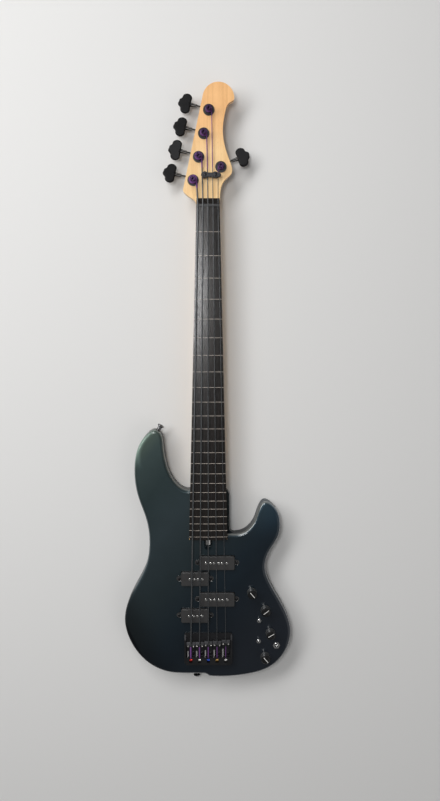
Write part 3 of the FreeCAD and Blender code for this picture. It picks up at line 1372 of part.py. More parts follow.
def write_all():
    """Build and write every piece."""
    os.makedirs("parts", exist_ok=True)
    every = range(STRING_COUNT)
    write("body", [body()])
    write("neck", [neck()])
    write("fingerboard", [fingerboard()])
    write("fret_lines", [fret_line(number) for number in range(1, LINE_COUNT + 1)])
    write("nut", [nut()])
    write("truss_rod", [truss_rod()])
    write("truss_nut", [truss_nut()])
    write("neck_bolts", neck_bolts())
    write("neck_ferrules", neck_ferrules())
    write("string_retainer", [string_retainer()])
    write("headstock_screws", headstock_screws())
    write("tuner_plates", [tuner_plate(index) for index in every])
    write("tuner_bushings", [tuner_bushing(index) for index in every])
    for index in every:
        label = str(index + 1)
        write("string_" + STRING_NAMES[index], string_solids(index))
        write("tuner_key_" + label, tuner_key(index))
        write("tuner_post_" + label, tuner_post(index))
        write("saddle_" + label, saddle(index))
        write("intonation_screw_" + label, [intonation_screw(index)])
    write("bridge_plate", [bridge_plate()])
    write("bridge_screws", bridge_screws())
    write("pickup_covers", [pickup_cover(site) for site in PICKUP_SITES])
    write("pickup_coils", [piece for site in PICKUP_SITES for piece in pickup_coil(site)])
    write("pickup_poles", [pole for site in PICKUP_SITES for pole in pickup_poles(site)])
    write("pickup_screws", [screw for site in PICKUP_SITES for screw in pickup_screws(site)])
    write("pickup_leads", [pickup_lead(number) for number in range(len(PICKUP_SITES))])
    write("pots", [pot(site) for site in POT_SITES])
    for number in range(len(POT_SITES)):
        write("knob_" + str(number + 1), knob(number))
    write("switches", [switch_body(site) for site in SWITCH_SITES])
    for number, site in enumerate(SWITCH_SITES):
        write("switch_lever_" + str(number + 1), [switch_lever(site)])
    write("output_jack", [output_jack()])
    write("control_nuts", control_nuts())
    write("control_cover", [control_cover()])
    write("cover_screws", cover_screws())
    write("preamp_board", [preamp_board()])
    write("battery", [battery()])
    write("strap_buttons", [piece for seat, way in strap_seats() for piece in strap_button(seat, way)])


if __name__ == "__main__":
    write_all()
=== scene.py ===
"""Looks of a five-string electric bass guitar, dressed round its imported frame. All sizes are in metres."""

import logging
import math
from dataclasses import dataclass
from functools import cache
from typing import Callable, Mapping, Sequence, Union

import bmesh
import bpy
from bmesh.types import BMesh, BMVert
from bpy.types import ID, Material, Mesh, NodeSocket, NodeTree, Object
from mathutils import Euler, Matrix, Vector


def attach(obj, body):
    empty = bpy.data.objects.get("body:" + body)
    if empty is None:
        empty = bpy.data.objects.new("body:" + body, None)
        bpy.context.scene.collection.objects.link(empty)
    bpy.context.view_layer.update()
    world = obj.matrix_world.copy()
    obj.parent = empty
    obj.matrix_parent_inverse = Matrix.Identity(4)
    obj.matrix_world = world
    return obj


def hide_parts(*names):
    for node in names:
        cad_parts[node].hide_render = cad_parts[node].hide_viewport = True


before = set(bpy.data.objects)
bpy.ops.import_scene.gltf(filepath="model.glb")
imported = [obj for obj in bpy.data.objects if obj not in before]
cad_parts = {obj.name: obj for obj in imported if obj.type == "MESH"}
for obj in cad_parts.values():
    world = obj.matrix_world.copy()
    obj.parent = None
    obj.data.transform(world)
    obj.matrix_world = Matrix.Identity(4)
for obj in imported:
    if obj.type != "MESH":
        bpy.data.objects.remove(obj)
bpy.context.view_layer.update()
LOG = logging.getLogger("bass")
ROOT = "guitar"
MM = 0.001
DOWN = (0.0, 0.0, -1.0)
NOISE_MEAN = 0.5

Colour = tuple[float, float, float]
Point = tuple[float, float, float]
Pair = tuple[float, float]
Operand = Union["Wire", float]


def operator(operation: str, swapped: bool = False) -> Callable[..., "Wire"]:
    """A method of Wire that adds one Math node, with the other operand first where they are swapped."""
    def method(self: "Wire", other: Operand = 0.0) -> "Wire":
        """Add the node."""
        first, second = (other, self) if swapped else (self, other)
        return self.kit.add("ShaderNodeMath", {0: first, 1: second}, {"operation": operation})

    return method


class Wire:
    """An output socket that takes part in Python arithmetic: each operator adds a Math node."""

    def __init__(self, kit: "NodeKit", socket: NodeSocket) -> None:
        self.kit = kit
        self.socket = socket

    __add__, __radd__ = operator("ADD"), operator("ADD", swapped=True)
    __sub__, __rsub__ = operator("SUBTRACT"), operator("SUBTRACT", swapped=True)
    __mul__, __rmul__ = operator("MULTIPLY"), operator("MULTIPLY", swapped=True)
    __pow__, __rpow__ = operator("POWER"), operator("POWER", swapped=True)
    __truediv__ = operator("DIVIDE")
    __abs__ = operator("ABSOLUTE")
    sine = operator("SINE")

    def ranged(self, low: float, high: float) -> "Wire":
        """A smooth step from 0 at low to 1 at high, whichever of the two is larger."""
        settings = {"interpolation_type": "SMOOTHSTEP"}
        if low < high:
            return self.kit.add("ShaderNodeMapRange", {0: self, 1: low, 2: high}, settings)
        return self.kit.add("ShaderNodeMapRange", {0: self, 1: high, 2: low, 3: 1.0, 4: 0.0}, settings)


class NodeKit:
    """Adds nodes to a tree."""

    def __init__(self, tree: NodeTree) -> None:
        """Keep the tree."""
        self.tree = tree

    def add(
        self,
        kind: str,
        inputs: Mapping[str | int, object] | None = None,
        settings: Mapping[str, object] | None = None,
        output: str | int = 0,
    ) -> Wire:
        """Add any node.

        Args:
            kind: the node's type.
            inputs: a value or a Wire for each named or numbered input.
            settings: its properties, set first; "stops" are a colour ramp's (place, colour) pairs.
            output: the output to give back.

        Returns:
            That output.
        """
        node = self.tree.nodes.new(kind)
        for key, value in (settings or {}).items():
            if key == "stops":
                self._set_stops(node.color_ramp.elements, value)
            else:
                setattr(node, key, value)
        for key, value in (inputs or {}).items():
            if isinstance(value, Wire):
                self.tree.links.new(value.socket, node.inputs[key])
            else:
                node.inputs[key].default_value = value
        return Wire(self, node.outputs[output] if len(node.outputs) else None)

    @staticmethod
    def _set_stops(elements: bpy.types.ColorRampElements, stops: Sequence[tuple[float, Colour]]) -> None:
        """Fill a colour ramp."""
        while len(elements) < len(stops):
            elements.new(0.5)
        for element, (place, colour) in zip(elements, stops):
            element.position = place
            element.color = (*colour, 1.0)


class ShaderKit(NodeKit):
    """Nodes for a material, all of them on the piece's own Object coordinates."""

    def __init__(self, tree: NodeTree) -> None:
        """Start with the coordinates."""
        super().__init__(tree)
        self.point = self.add("ShaderNodeTexCoord", output="Object")

    def axes(self) -> tuple[Wire, Wire, Wire]:
        """The three coordinates."""
        first = self.add("ShaderNodeSeparateXYZ", {0: self.point})
        outputs = first.socket.node.outputs
        return tuple(Wire(self, outputs[k]) for k in range(3))

    def reach(self, site: Pair) -> Wire:
        """How far a point lies from a site, seen from above."""
        x, y, _ = self.axes()
        return ((x - site[0]) * (x - site[0]) + (y - site[1]) * (y - site[1])) ** 0.5

    def turned(self, site: Pair, angle: float) -> tuple[Wire, Wire]:
        """Where a point lies along and beside a line through a site.

        Args:
            site: the line's start, seen from above.
            angle: the line's direction in degrees.

        Returns:
            The distance along the line, and the distance to its left.
        """
        x, y, _ = self.axes()
        turn = math.radians(angle)
        along = (x - site[0]) * math.cos(turn) + (y - site[1]) * math.sin(turn)
        return along, (y - site[1]) * math.cos(turn) - (x - site[0]) * math.sin(turn)

    def noise(
        self,
        scale: Union[Point, float],
        detail: float = 3.0,
        rough: float = 0.5,
        distortion: float = 0.0,
    ) -> Wire:
        """Soft noise.

        Args:
            scale: grains to the metre on each axis, or on all three.
            detail: finer layers.
            rough: weight of the finer layers.
            distortion: how far it swirls.

        Returns:
            A value round 0.5.
        """
        grains = scale if isinstance(scale, tuple) else (scale,) * 3
        return self.add("ShaderNodeTexNoise", {
            "Vector": self.product(self.point, grains),
            "Scale": 1.0,
            "Detail": detail,
            "Roughness": rough,
            "Distortion": distortion,
        })

    def ramp(self, value: Operand, stops: Sequence[tuple[float, Colour]]) -> Wire:
        """A colour from a value."""
        return self.add("ShaderNodeValToRGB", {0: value}, {"stops": stops})

    def mix(self, factor: Operand, first: object, second: object) -> Wire:
        """A mix of two colours, each a Wire or three numbers."""
        pair = [c if isinstance(c, Wire) else (*c, 1.0) for c in (first, second)]
        settings = {"data_type": "RGBA", "blend_type": "MIX"}
        return self.add("ShaderNodeMix", {0: factor, 6: pair[0], 7: pair[1]}, settings, output=2)

    def dimmed(self, colour: Wire, value: Operand) -> Wire:
        """A colour times a value."""
        return self.add("ShaderNodeVectorMath", {0: colour, 3: value}, {"operation": "SCALE"})

    def product(self, first: Wire, second: Union[Wire, Point]) -> Wire:
        """One colour or vector times another."""
        return self.add("ShaderNodeVectorMath", {0: first, 1: second}, {"operation": "MULTIPLY"})

    def varied(self, factor: Operand, colour: Colour, low: float, high: float) -> Wire:
        """A colour that goes from one share of itself to another."""
        return self.mix(factor, [c * low for c in colour], [c * high for c in colour])

    @staticmethod
    def uneven(value: Operand, noise: Wire, swing: float) -> Wire:
        """A value that noise moves up and down."""
        return value + (noise - NOISE_MEAN) * swing

    def bump(self, height: Wire, strength: float, depth: float) -> Wire:
        """A surface normal from a height."""
        return self.add("ShaderNodeBump", {"Strength": strength, "Distance": depth, "Height": height})


@dataclass(frozen=True)
class Finish:
    """What every finish has: a name and the shader values that are the same all over it."""

    name: str
    roughness: float = 0.4
    metallic: float = 0.0
    coat: float = 0.0
    coat_roughness: float = 0.08
    coat_ior: float = 1.5
    level: float = 0.5

    def channels(self, kit: ShaderKit) -> dict[str, object]:
        """What varies over the surface, by the shader's own names."""
        raise NotImplementedError

    @cache
    def material(self) -> Material:
        """The finish's material, with one Principled shader, made once."""
        material = bpy.data.materials.new(self.name)
        material.use_nodes = True
        material.node_tree.nodes.clear()
        kit = ShaderKit(material.node_tree)
        values: dict[str, object] = {
            "Roughness": self.roughness,
            "Metallic": self.metallic,
            "Coat Weight": self.coat,
            "Coat Roughness": self.coat_roughness,
            "Coat IOR": self.coat_ior,
            "Specular IOR Level": self.level,
        }
        values.update(self.channels(kit))
        shader = kit.add("ShaderNodeBsdfPrincipled", values)
        kit.add("ShaderNodeOutputMaterial", {"Surface": shader})
        return material

    def dress(self, *nodes: str) -> None:
        """Give CAD nodes this finish."""
        material = self.material()
        for name in nodes:
            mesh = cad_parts[name].data
            mesh.materials.clear()
            mesh.materials.append(material)
            LOG.info("dressed %s in %s", name, material.name)


@dataclass(frozen=True)
class Spot:
    """A round spot on a surface: the distances from its site at which it is gone and at which it is full."""

    site: Pair
    gone: float
    full: float

    def mask(self, kit: ShaderKit) -> Wire:
        """1 where the spot is full, 0 where it is gone."""
        return kit.reach(self.site).ranged(self.gone, self.full)


@dataclass(frozen=True)
class BodyLacquer(Finish):
    """Dark metallic lacquer that turns from blue to a greyed green towards the long horn: partly the paint's
    own colour shift, partly painted light that falls off from the upper left.

    Its rounded rim has a heavier coat and a painted highlight, paler still round the short horn's cutaway;
    painted highlight also brightens the short horn and the outer edge of the long horn's shoulder. Painted
    shade darkens the side walls, which have a thin coat, and the slope of the forearm.
    """

    # Tones along the sweep: partly the paint's colour shift, partly painted light, brighter towards the
    # upper left where the light comes from.
    tones: tuple[tuple[float, Colour], ...] = (
        (0.22, (0.0118, 0.0165, 0.0242)),
        (0.40, (0.0050, 0.0120, 0.0195)),
        (0.46, (0.0068, 0.0162, 0.0250)),
        (0.60, (0.0170, 0.0290, 0.0342)),
        (0.73, (0.0275, 0.0430, 0.0500)),
        (0.86, (0.0190, 0.0330, 0.0350)),
        (0.955, (0.0318, 0.0505, 0.0500)),
        (1.00, (0.0530, 0.0760, 0.0630)),
    )
    sweep_slope: float = 0.85
    sweep_start: float = -0.25
    sweep_length: float = 0.72
    flake_grain: float = 2600.0
    flake_share: float = 0.9
    cloud_grain: float = 9.0
    cloud_share: float = 0.3
    plain_share: float = 0.42
    rub_grain: Point = (30.0, 55.0, 30.0)
    rub_haze: float = 0.14
    peel_grain: float = 420.0
    rim_from: float = 0.0355
    rim_to: float = 0.0416
    rim_fade: float = 0.0012
    # Painted highlight: how much brighter the rim's colour is made.
    rim_painted_highlight: float = 1.9
    rim_coat: float = 1.0
    wall_fade: float = 0.001
    # Painted shade: the share of colour left on the side walls.
    wall_painted_shade: float = 0.55
    wall_coat: float = 0.06
    forearm: Pair = (-0.112, 0.020)
    forearm_slope: Pair = (0.900, 0.435)
    forearm_rim: Pair = (-0.004, 0.012)
    forearm_fade: Pair = (0.030, -0.050)
    # Painted shade: the share of colour left over the forearm's slope.
    forearm_painted_shade: float = 0.38
    # Painted highlight: the rim round the short horn's cutaway is mixed towards this pale colour.
    cutaway: Spot = Spot((0.060, 0.275), gone=0.067, full=0.054)
    cutaway_painted_highlight: Colour = (0.190, 0.205, 0.200)
    # Painted highlight along the outer edge of the long horn's shoulder.
    shoulder: Spot = Spot((-0.136, 0.393), gone=0.048, full=0.010)
    shoulder_rim: Spot = Spot((-0.085, 0.375), gone=0.047, full=0.055)
    shoulder_painted_highlight: float = 2.6
    # Painted highlight over the short horn: where it lies, and how much brighter it makes the colour.
    horn: Spot = Spot((0.122, 0.282), gone=0.085, full=0.0)
    horn_painted_highlight: float = 2.3

    def channels(self, kit: ShaderKit) -> dict[str, object]:
        """Colour with flake, painted highlight and painted shade, hazed gloss and a trace of orange peel."""
        x, y, z = kit.axes()
        wall = z.ranged(self.rim_from + self.wall_fade, self.rim_from)
        slope = (x - self.forearm[0]) * self.forearm_slope[0] + (y - self.forearm[1]) * self.forearm_slope[1]
        rim = z.ranged(self.rim_to, self.rim_to - self.rim_fade) * (1.0 - wall)
        rim = rim * slope.ranged(*self.forearm_rim)
        shoulder_highlight_mask = self.shoulder_rim.mask(kit) * self.shoulder.mask(kit) * (1.0 - wall)
        # Painted light: painted highlight on the rim, the short horn and the long horn's shoulder; painted
        # shade on the side walls and the forearm's slope.
        shade = 1.0 + rim * (self.rim_painted_highlight - 1.0) - wall * (1.0 - self.wall_painted_shade)
        shade = shade * (1.0 - slope.ranged(*self.forearm_fade) * (1.0 - self.forearm_painted_shade))
        shade = shade * (1.0 + self.horn.mask(kit) * (self.horn_painted_highlight - 1.0))
        shade = shade * (1.0 + shoulder_highlight_mask * (self.shoulder_painted_highlight - 1.0))
        flake = kit.noise(self.flake_grain, detail=2.0, rough=0.7)
        cloud = kit.noise(self.cloud_grain)
        colour = kit.ramp((y * self.sweep_slope - x - self.sweep_start) / self.sweep_length, self.tones)
        glint = flake * self.flake_share + cloud * self.cloud_share + self.plain_share
        colour = kit.dimmed(colour, glint * shade)
        rub = kit.noise(self.rub_grain, detail=4.0, rough=0.6)
        peel = kit.noise(self.peel_grain, detail=1.0)
        coat = self.coat + rim * (self.rim_coat - self.coat) - wall * (self.coat - self.wall_coat)
        return {
            # Painted highlight on the rim round the cutaway.
            "Base Color": kit.mix(rim * self.cutaway.mask(kit), colour, self.cutaway_painted_highlight),
            "Roughness": kit.uneven(self.roughness, rub, self.rub_haze),
            "Coat Weight": coat,
            "Normal": kit.bump((peel + flake) * 0.5, strength=0.12, depth=0.12 * MM),
        }


@dataclass(frozen=True)
class Maple(Finish):
    """Pale maple under a thin satin coat: long grain, growth lines and short flecks."""

    pale: Colour = (0.90, 0.515, 0.215)
    dark: Colour = (0.70, 0.350, 0.120)
    nut_end_tint: Colour = (1.04, 1.24, 1.42)
    nut_end_range: Pair = (1.035, 0.955)
    pale_at: float = 0.12
    dark_at: float = 0.85
    tone_shift: float = -0.02
    grain_scale: Point = (420.0, 7.0, 420.0)
    grain_share: float = 0.5
    grain_haze: float = 0.2
    growth_scale: Point = (58.0, 1.6, 58.0)
    growth_rings: float = 21.0
    growth_share: float = 0.16
    flame_scale: Point = (14.0, 75.0, 14.0)
    flame_share: float = 0.3
    fleck_scale: Point = (1500.0, 190.0, 1500.0)
    fleck_range: Pair = (0.62, 0.74)
    fleck_shade: float = 0.16
    fleck_depth: float = 0.4

    def channels(self, kit: ShaderKit) -> dict[str, object]:
        """Grain along the neck, and a colour that turns paler and less orange from the headstock's tip down
        towards the nut.
        """
        grain = kit.noise(self.grain_scale, detail=5.0, rough=0.6, distortion=0.4)
        growth = kit.noise(self.growth_scale, distortion=1.2)
        flame = kit.noise(self.flame_scale, detail=2.0)
        fleck = kit.noise(self.fleck_scale, detail=1.0).ranged(*self.fleck_range)
        rings = (growth * self.growth_rings).sine()
        tone = grain * self.grain_share + rings * self.growth_share
        tone = tone + flame * self.flame_share + self.tone_shift
        colour = kit.ramp(tone, ((self.pale_at, self.pale), (self.dark_at, self.dark)))
        _, y, _ = kit.axes()
        tint = kit.mix(y.ranged(*self.nut_end_range), (1.0, 1.0, 1.0), self.nut_end_tint)
        return {
            "Base Color": kit.product(kit.dimmed(colour, 1.0 - fleck * self.fleck_shade), tint),
            "Roughness": kit.uneven(self.roughness, grain, self.grain_haze),
            "Normal": kit.bump(grain - fleck * self.fleck_depth, strength=0.18, depth=0.1 * MM),
        }


@dataclass(frozen=True)
class DarkBoard(Finish):
    """Near-black hardwood, oiled to a sheen, with open pores along the neck."""

    black: Colour = (0.0050, 0.0042, 0.0038)
    brown: Colour = (0.0170, 0.0118, 0.0092)
    black_at: float = 0.36
    brown_at: float = 0.72
    streak_scale: Point = (520.0, 6.0, 520.0)
    streak_share: float = 0.7
    streak_haze: float = 0.22
    streak_depth: float = 0.3
    band_scale: Point = (90.0, 1.5, 90.0)
    band_share: float = 0.3
    pore_scale: Point = (2400.0, 75.0, 2400.0)
    pore_range: Pair = (0.56, 0.70)
    pore_shade: float = 0.7
    pore_haze: float = 0.2

    def channels(self, kit: ShaderKit) -> dict[str, object]:
        """Streaks and pores."""
        streak = kit.noise(self.streak_scale, detail=5.0, rough=0.6, distortion=0.3)
        band = kit.noise(self.band_scale, detail=2.0)
        pore = kit.noise(self.pore_scale, detail=1.0).ranged(*self.pore_range)
        tone = streak * self.streak_share + band * self.band_share
        colour = kit.ramp(tone, ((self.black_at, self.black), (self.brown_at, self.brown)))
        return {
            "Base Color": kit.dimmed(colour, 1.0 - pore * self.pore_shade),
            "Roughness": kit.uneven(self.roughness, streak, self.streak_haze) + pore * self.pore_haze,
            "Normal": kit.bump(streak * self.streak_depth - pore, strength=0.10, depth=0.06 * MM),
        }


@dataclass(frozen=True)
class Metal(Finish):
    """A metal or a plating, with fine rubbing marks and faint handling haze."""

    colour: Colour = (0.6, 0.6, 0.6)
    rub_grain: float = 900.0
    haze_grain: float = 70.0
    haze: float = 0.12
    mottle: float = 0.12
    relief: float = 0.12

    def channels(self, kit: ShaderKit) -> dict[str, object]:
        """Marks in the gloss, a breath of mottle in the colour."""
        marks = kit.noise(self.rub_grain, detail=4.0, rough=0.65)
        haze = kit.noise(self.haze_grain)
        return {
            "Base Color": kit.varied(haze, self.colour, 1 - self.mottle, 1 + self.mottle),
            "Roughness": self.roughness + (marks + haze - 2 * NOISE_MEAN) * self.haze,
            "Normal": kit.bump(marks, self.relief, depth=0.05 * MM),
        }


@dataclass(frozen=True)
class MarkedMetal(Metal):
    """A metal with marks in another colour."""

    mark: Colour = (0.62, 0.61, 0.59)
    mark_metallic: bool = True

    def mask(self, kit: ShaderKit) -> Wire:
        """1 on the marks, 0 beside them."""
        raise NotImplementedError

    def channels(self, kit: ShaderKit) -> dict[str, object]:
        """The metal, with the marks in their colour."""
        values = super().channels(kit)
        mask = self.mask(kit)
        values["Base Color"] = kit.mix(mask, values["Base Color"], self.mark)
        if not self.mark_metallic:
            values["Metallic"] = self.metallic * (1.0 - mask)
        return values


@dataclass(frozen=True)
class SaddleMetal(MarkedMetal):
    """Black saddle with its two bright grub screws."""

    site: Pair = (0.0, 0.0)
    grub_offset: float = 0.0053
    grub_edge: Pair = (0.00155, 0.00152)

    def mask(self, kit: ShaderKit) -> Wire:
        """The screws by their places on the saddle."""
        x, y, _ = kit.axes()
        aside = abs(x - self.site[0]) - self.grub_offset
        along = y - self.site[1]
        away = (aside * aside + along * along) ** 0.5
        return away.ranged(*self.grub_edge)


@dataclass(frozen=True)
class PostMetal(MarkedMetal):
    """Black tuner post, with a violet cast over the headstock's face."""

    mark: Colour = (0.060, 0.032, 0.082)
    face: Pair = (0.0415, 0.0420)

    def mask(self, kit: ShaderKit) -> Wire:
        """The cast by its height."""
        _, _, z = kit.axes()
        return z.ranged(*self.face)


@dataclass(frozen=True)
class KeyMetal(MarkedMetal):
    """Black tuner key with two painted highlight lines along its stem."""

    # Colour of the painted highlight lines.
    mark: Colour = (0.36, 0.355, 0.345)
    mark_metallic: bool = False
    site: Pair = (0.0, 0.0)
    angle: float = 0.0
    axis_aside: float = 0.0
    line_offset: float = 0.0015
    line_edge: Pair = (0.0004, 0.00024)
    line_start: Pair = (0.016, 0.017)
    line_end: Pair = (0.0385, 0.0355)

    def mask(self, kit: ShaderKit) -> Wire:
        """The painted highlight lines by their places on the stem."""
        along, aside = kit.turned(self.site, self.angle)
        line = abs(abs(aside - self.axis_aside) - self.line_offset).ranged(*self.line_edge)
        return line * along.ranged(*self.line_start) * along.ranged(*self.line_end)


@dataclass(frozen=True)
class Moulding(Finish):
    """Moulded plastic or composite with a fine grained skin."""

    colour: Colour = (0.02, 0.02, 0.02)
    grain: float = 1800.0
    grain_share: float = 0.6
    rub_grain: float = 60.0
    rub_share: float = 0.4
    rub_haze: float = 0.2
    speckle: float = 0.3
    relief: float = 0.25

    def channels(self, kit: ShaderKit) -> dict[str, object]:
        """Grain, speckle and rubbed gloss."""
        skin = kit.noise(self.grain, detail=2.0, rough=0.6)
        rub = kit.noise(self.rub_grain, detail=4.0, rough=0.6)
        tone = skin * self.grain_share + rub * self.rub_share
        return {
            "Base Color": kit.varied(tone, self.colour, 1 - self.speckle, 1 + self.speckle),
            "Roughness": kit.uneven(self.roughness, rub, self.rub_haze),
            "Normal": kit.bump(skin, self.relief, depth=0.08 * MM),
        }


@dataclass(frozen=True)
class WoundString(Finish):
    """Round-wound string: bare winding along the neck, dyed silk at both ends, plated ball end."""

    wire: Colour = (0.178, 0.184, 0.192)
    silk: Colour = (0.165, 0.055, 0.235)
    ball: Colour = (0.5, 0.5, 0.5)
    silk_from: float = 0.93
    silk_to: float = -0.006
    silk_blur: float = 0.0006
    silk_roughness: float = 0.78
    ball_to: float = -0.0314
    ball_blur: float = 0.0002
    pitch: float = 0.00045
    coil_painted_shade: float = 0.18
    coil_mean: float = 0.85
    lint_scale: Point = (1900.0, 500.0, 1900.0)
    lint_range: Pair = (0.45, 1.5)
    lint_depth: float = 0.8
    dull_scale: Point = (300.0, 22.0, 300.0)
    dull_range: Pair = (1.0, 0.6)
    dull_haze: float = 0.15

    def channels(self, kit: ShaderKit) -> dict[str, object]:
        """Winding, silk and ball end by their places along the neck."""
        _, y, _ = kit.axes()
        coil = (y * (2 * math.pi / self.pitch)).sine()
        lint = kit.noise(self.lint_scale, rough=0.7)
        dull = kit.noise(self.dull_scale)
        head_silk = y.ranged(self.silk_from - self.silk_blur, self.silk_from)
        tail_silk = y.ranged(self.silk_to + self.silk_blur, self.silk_to)
        silk = head_silk + tail_silk
        ball = y.ranged(self.ball_to + self.ball_blur, self.ball_to)
        wire = kit.varied(dull, self.wire, *self.dull_range)
        # Painted shade in the grooves between the winding's turns.
        wire = kit.dimmed(wire, coil * self.coil_painted_shade + self.coil_mean)
        thread = kit.varied(lint, self.silk, *self.lint_range)
        bare = 1.0 - silk * (1.0 - ball)
        roughness = self.silk_roughness - bare * (self.silk_roughness - self.roughness)
        return {
            "Base Color": kit.mix(ball, kit.mix(silk, wire, thread), self.ball),
            "Metallic": bare,
            "Roughness": kit.uneven(roughness, dull, self.dull_haze),
            "Normal": kit.bump(coil * (1.0 - ball) + lint * self.lint_depth, strength=0.25, depth=0.06 * MM),
        }


@dataclass(frozen=True)
class PointerKnob(Finish):
    """Black knob with flanks painted paler as a highlight, and a pale pointer line let into its top."""

    site: Pair = (0.0, 0.0)
    angle: float = 0.0
    top: float = 0.0609
    line_edge: Pair = (0.00060, 0.00056)
    line_depth: Pair = (-0.0011, -0.0010)
    line_start: Pair = (-0.0060, -0.0059)
    line_end: Pair = (0.0076, 0.0075)
    flank_from: Pair = (-0.0010, -0.0020)
    line_haze: float = 0.2
    brushed_scale: Point = (700.0, 700.0, 2600.0)
    brushed_haze: float = 0.16
    hand_grain: float = 90.0
    hand_range: Pair = (0.8, 1.3)
    black: Colour = (0.034, 0.034, 0.035)
    # Painted highlight colour of the knob's flanks.
    painted_flank_highlight: Colour = (0.280, 0.280, 0.272)
    pale: Colour = (0.80, 0.79, 0.76)

    def channels(self, kit: ShaderKit) -> dict[str, object]:
        """Satin black with painted highlight on the flanks, and the line masked by its place on the knob."""
        _, _, z = kit.axes()
        along, aside = kit.turned(self.site, self.angle)
        line = abs(aside).ranged(*self.line_edge) * (z - self.top).ranged(*self.line_depth)
        line = line * along.ranged(*self.line_start) * along.ranged(*self.line_end)
        brushed = kit.noise(self.brushed_scale, rough=0.6)
        hand = kit.noise(self.hand_grain)
        black = kit.varied(hand, self.black, *self.hand_range)
        painted_flank_highlight = (z - self.top).ranged(*self.flank_from)
        return {
            "Base Color": kit.mix(line, kit.mix(painted_flank_highlight, black, self.painted_flank_highlight), self.pale),
            "Metallic": self.metallic * (1.0 - line),
            "Roughness": kit.uneven(self.roughness, brushed, self.brushed_haze) + line * self.line_haze,
            "Normal": kit.bump(brushed, strength=0.1, depth=0.05 * MM),
        }


class Palette:
    """The finishes that are the same on every piece that wears them."""

    LACQUER = BodyLacquer("body_lacquer", 0.38, metallic=0.55, coat=0.19, coat_ior=2.1, level=0.25)
    MAPLE = Maple("satin_maple", 0.42, coat=0.22, coat_roughness=0.28)
    BOARD = DarkBoard("oiled_board", 0.23, level=0.45)
    LINE = Maple("pale_line", 0.45, pale=(0.72, 0.64, 0.57), dark=(0.54, 0.47, 0.40), nut_end_tint=(1.0, 1.0, 1.0))
    NUT = Moulding("nut_composite", 0.45, colour=(0.022, 0.022, 0.023))
    BLACK = Metal("black_plating", 0.36, metallic=0.9, colour=(0.042, 0.042, 0.045), mottle=0.2)
    POST = PostMetal("post_plating", 0.34, metallic=0.9, colour=(0.075, 0.075, 0.078), mottle=0.25)
    BUTTON = Metal("gloss_plating", 0.16, metallic=1.0, colour=(0.16, 0.16, 0.165), haze=0.06)
    STEEL = Metal("bright_steel", 0.26, metallic=1.0, colour=(0.58, 0.575, 0.56))
    CHROME = Metal("bright_plating", 0.14, metallic=1.0, colour=(0.62, 0.62, 0.62), haze=0.06)
    PICKUP = Moulding("pickup_moulding", 0.30, colour=(0.036, 0.035, 0.035), speckle=0.25)
    COIL = Moulding("coil_enamel", 0.35, colour=(0.20, 0.07, 0.025), grain=4200.0)
    LEAD = Moulding("black_sheath", 0.5, colour=(0.018, 0.018, 0.019))
    COVER = Moulding("grained_cover", 0.5, colour=(0.014, 0.014, 0.015), grain=1300.0, relief=0.5)
    CIRCUIT = Moulding("green_board", 0.45, colour=(0.015, 0.10, 0.045))
    BATTERY = Moulding("grey_case", 0.4, colour=(0.08, 0.08, 0.085), grain=600.0)


class GroupKit(NodeKit):
    """A Geometry Nodes tree with named inputs, which ends in one material."""

    def __init__(self, name: str, inputs: Mapping[str, str]) -> None:
        """Start the tree, with the socket type of each named input."""
        super().__init__(bpy.data.node_groups.new(name, "GeometryNodeTree"))
        face = self.tree.interface
        face.new_socket("Geometry", in_out="INPUT", socket_type="NodeSocketGeometry")
        face.new_socket("Geometry", in_out="OUTPUT", socket_type="NodeSocketGeometry")
        for title, kind in {**inputs, "Material": "NodeSocketMaterial"}.items():
            face.new_socket(title, in_out="INPUT", socket_type=kind)
        entry = self.tree.nodes.new("NodeGroupInput")
        self.given = {socket.name: Wire(self, socket) for socket in entry.outputs if socket.name}

    def vector(self, x: Operand, y: Operand, z: Operand) -> Wire:
        """A vector from three values."""
        return self.add("ShaderNodeCombineXYZ", {0: x, 1: y, 2: z})

    def close(self, geometry: Wire) -> None:
        """Set the material and end the tree."""
        inputs = {"Geometry": geometry, "Material": self.given["Material"]}
        dressed = self.add("GeometryNodeSetMaterial", inputs)
        self.add("NodeGroupOutput", {"Geometry": dressed})

    def bake(self, unit: Mesh, values: Mapping[str, object]) -> Mesh:
        """Run the tree once on a mesh, with a value for each named input, and give back a plain mesh."""
        carrier = placed("unit", unit)
        modifier = carrier.modifiers.new("repeat", "NODES")
        modifier.node_group = self.tree
        for item in self.tree.interface.items_tree:
            if item.in_out == "INPUT" and item.name in values:
                modifier[item.identifier] = values[item.name]
        result = carrier.evaluated_get(bpy.context.evaluated_depsgraph_get())
        mesh = bpy.data.meshes.new_from_object(result)
        bpy.data.objects.remove(carrier)
        return mesh


def placed(name: str, data: ID) -> Object:
    """Link a mesh, a lamp or a camera to the scene as an object at the origin."""
    data.name = name
    piece = bpy.data.objects.new(name, data)
    bpy.context.scene.collection.objects.link(piece)
    return piece


def stand_in(piece: Object, node: str) -> None:
    """Let a finished piece stand for a fixed CAD node."""
    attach(piece, ROOT)
    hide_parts(node)
    LOG.info("built %s: %d faces", piece.name, len(piece.data.polygons))


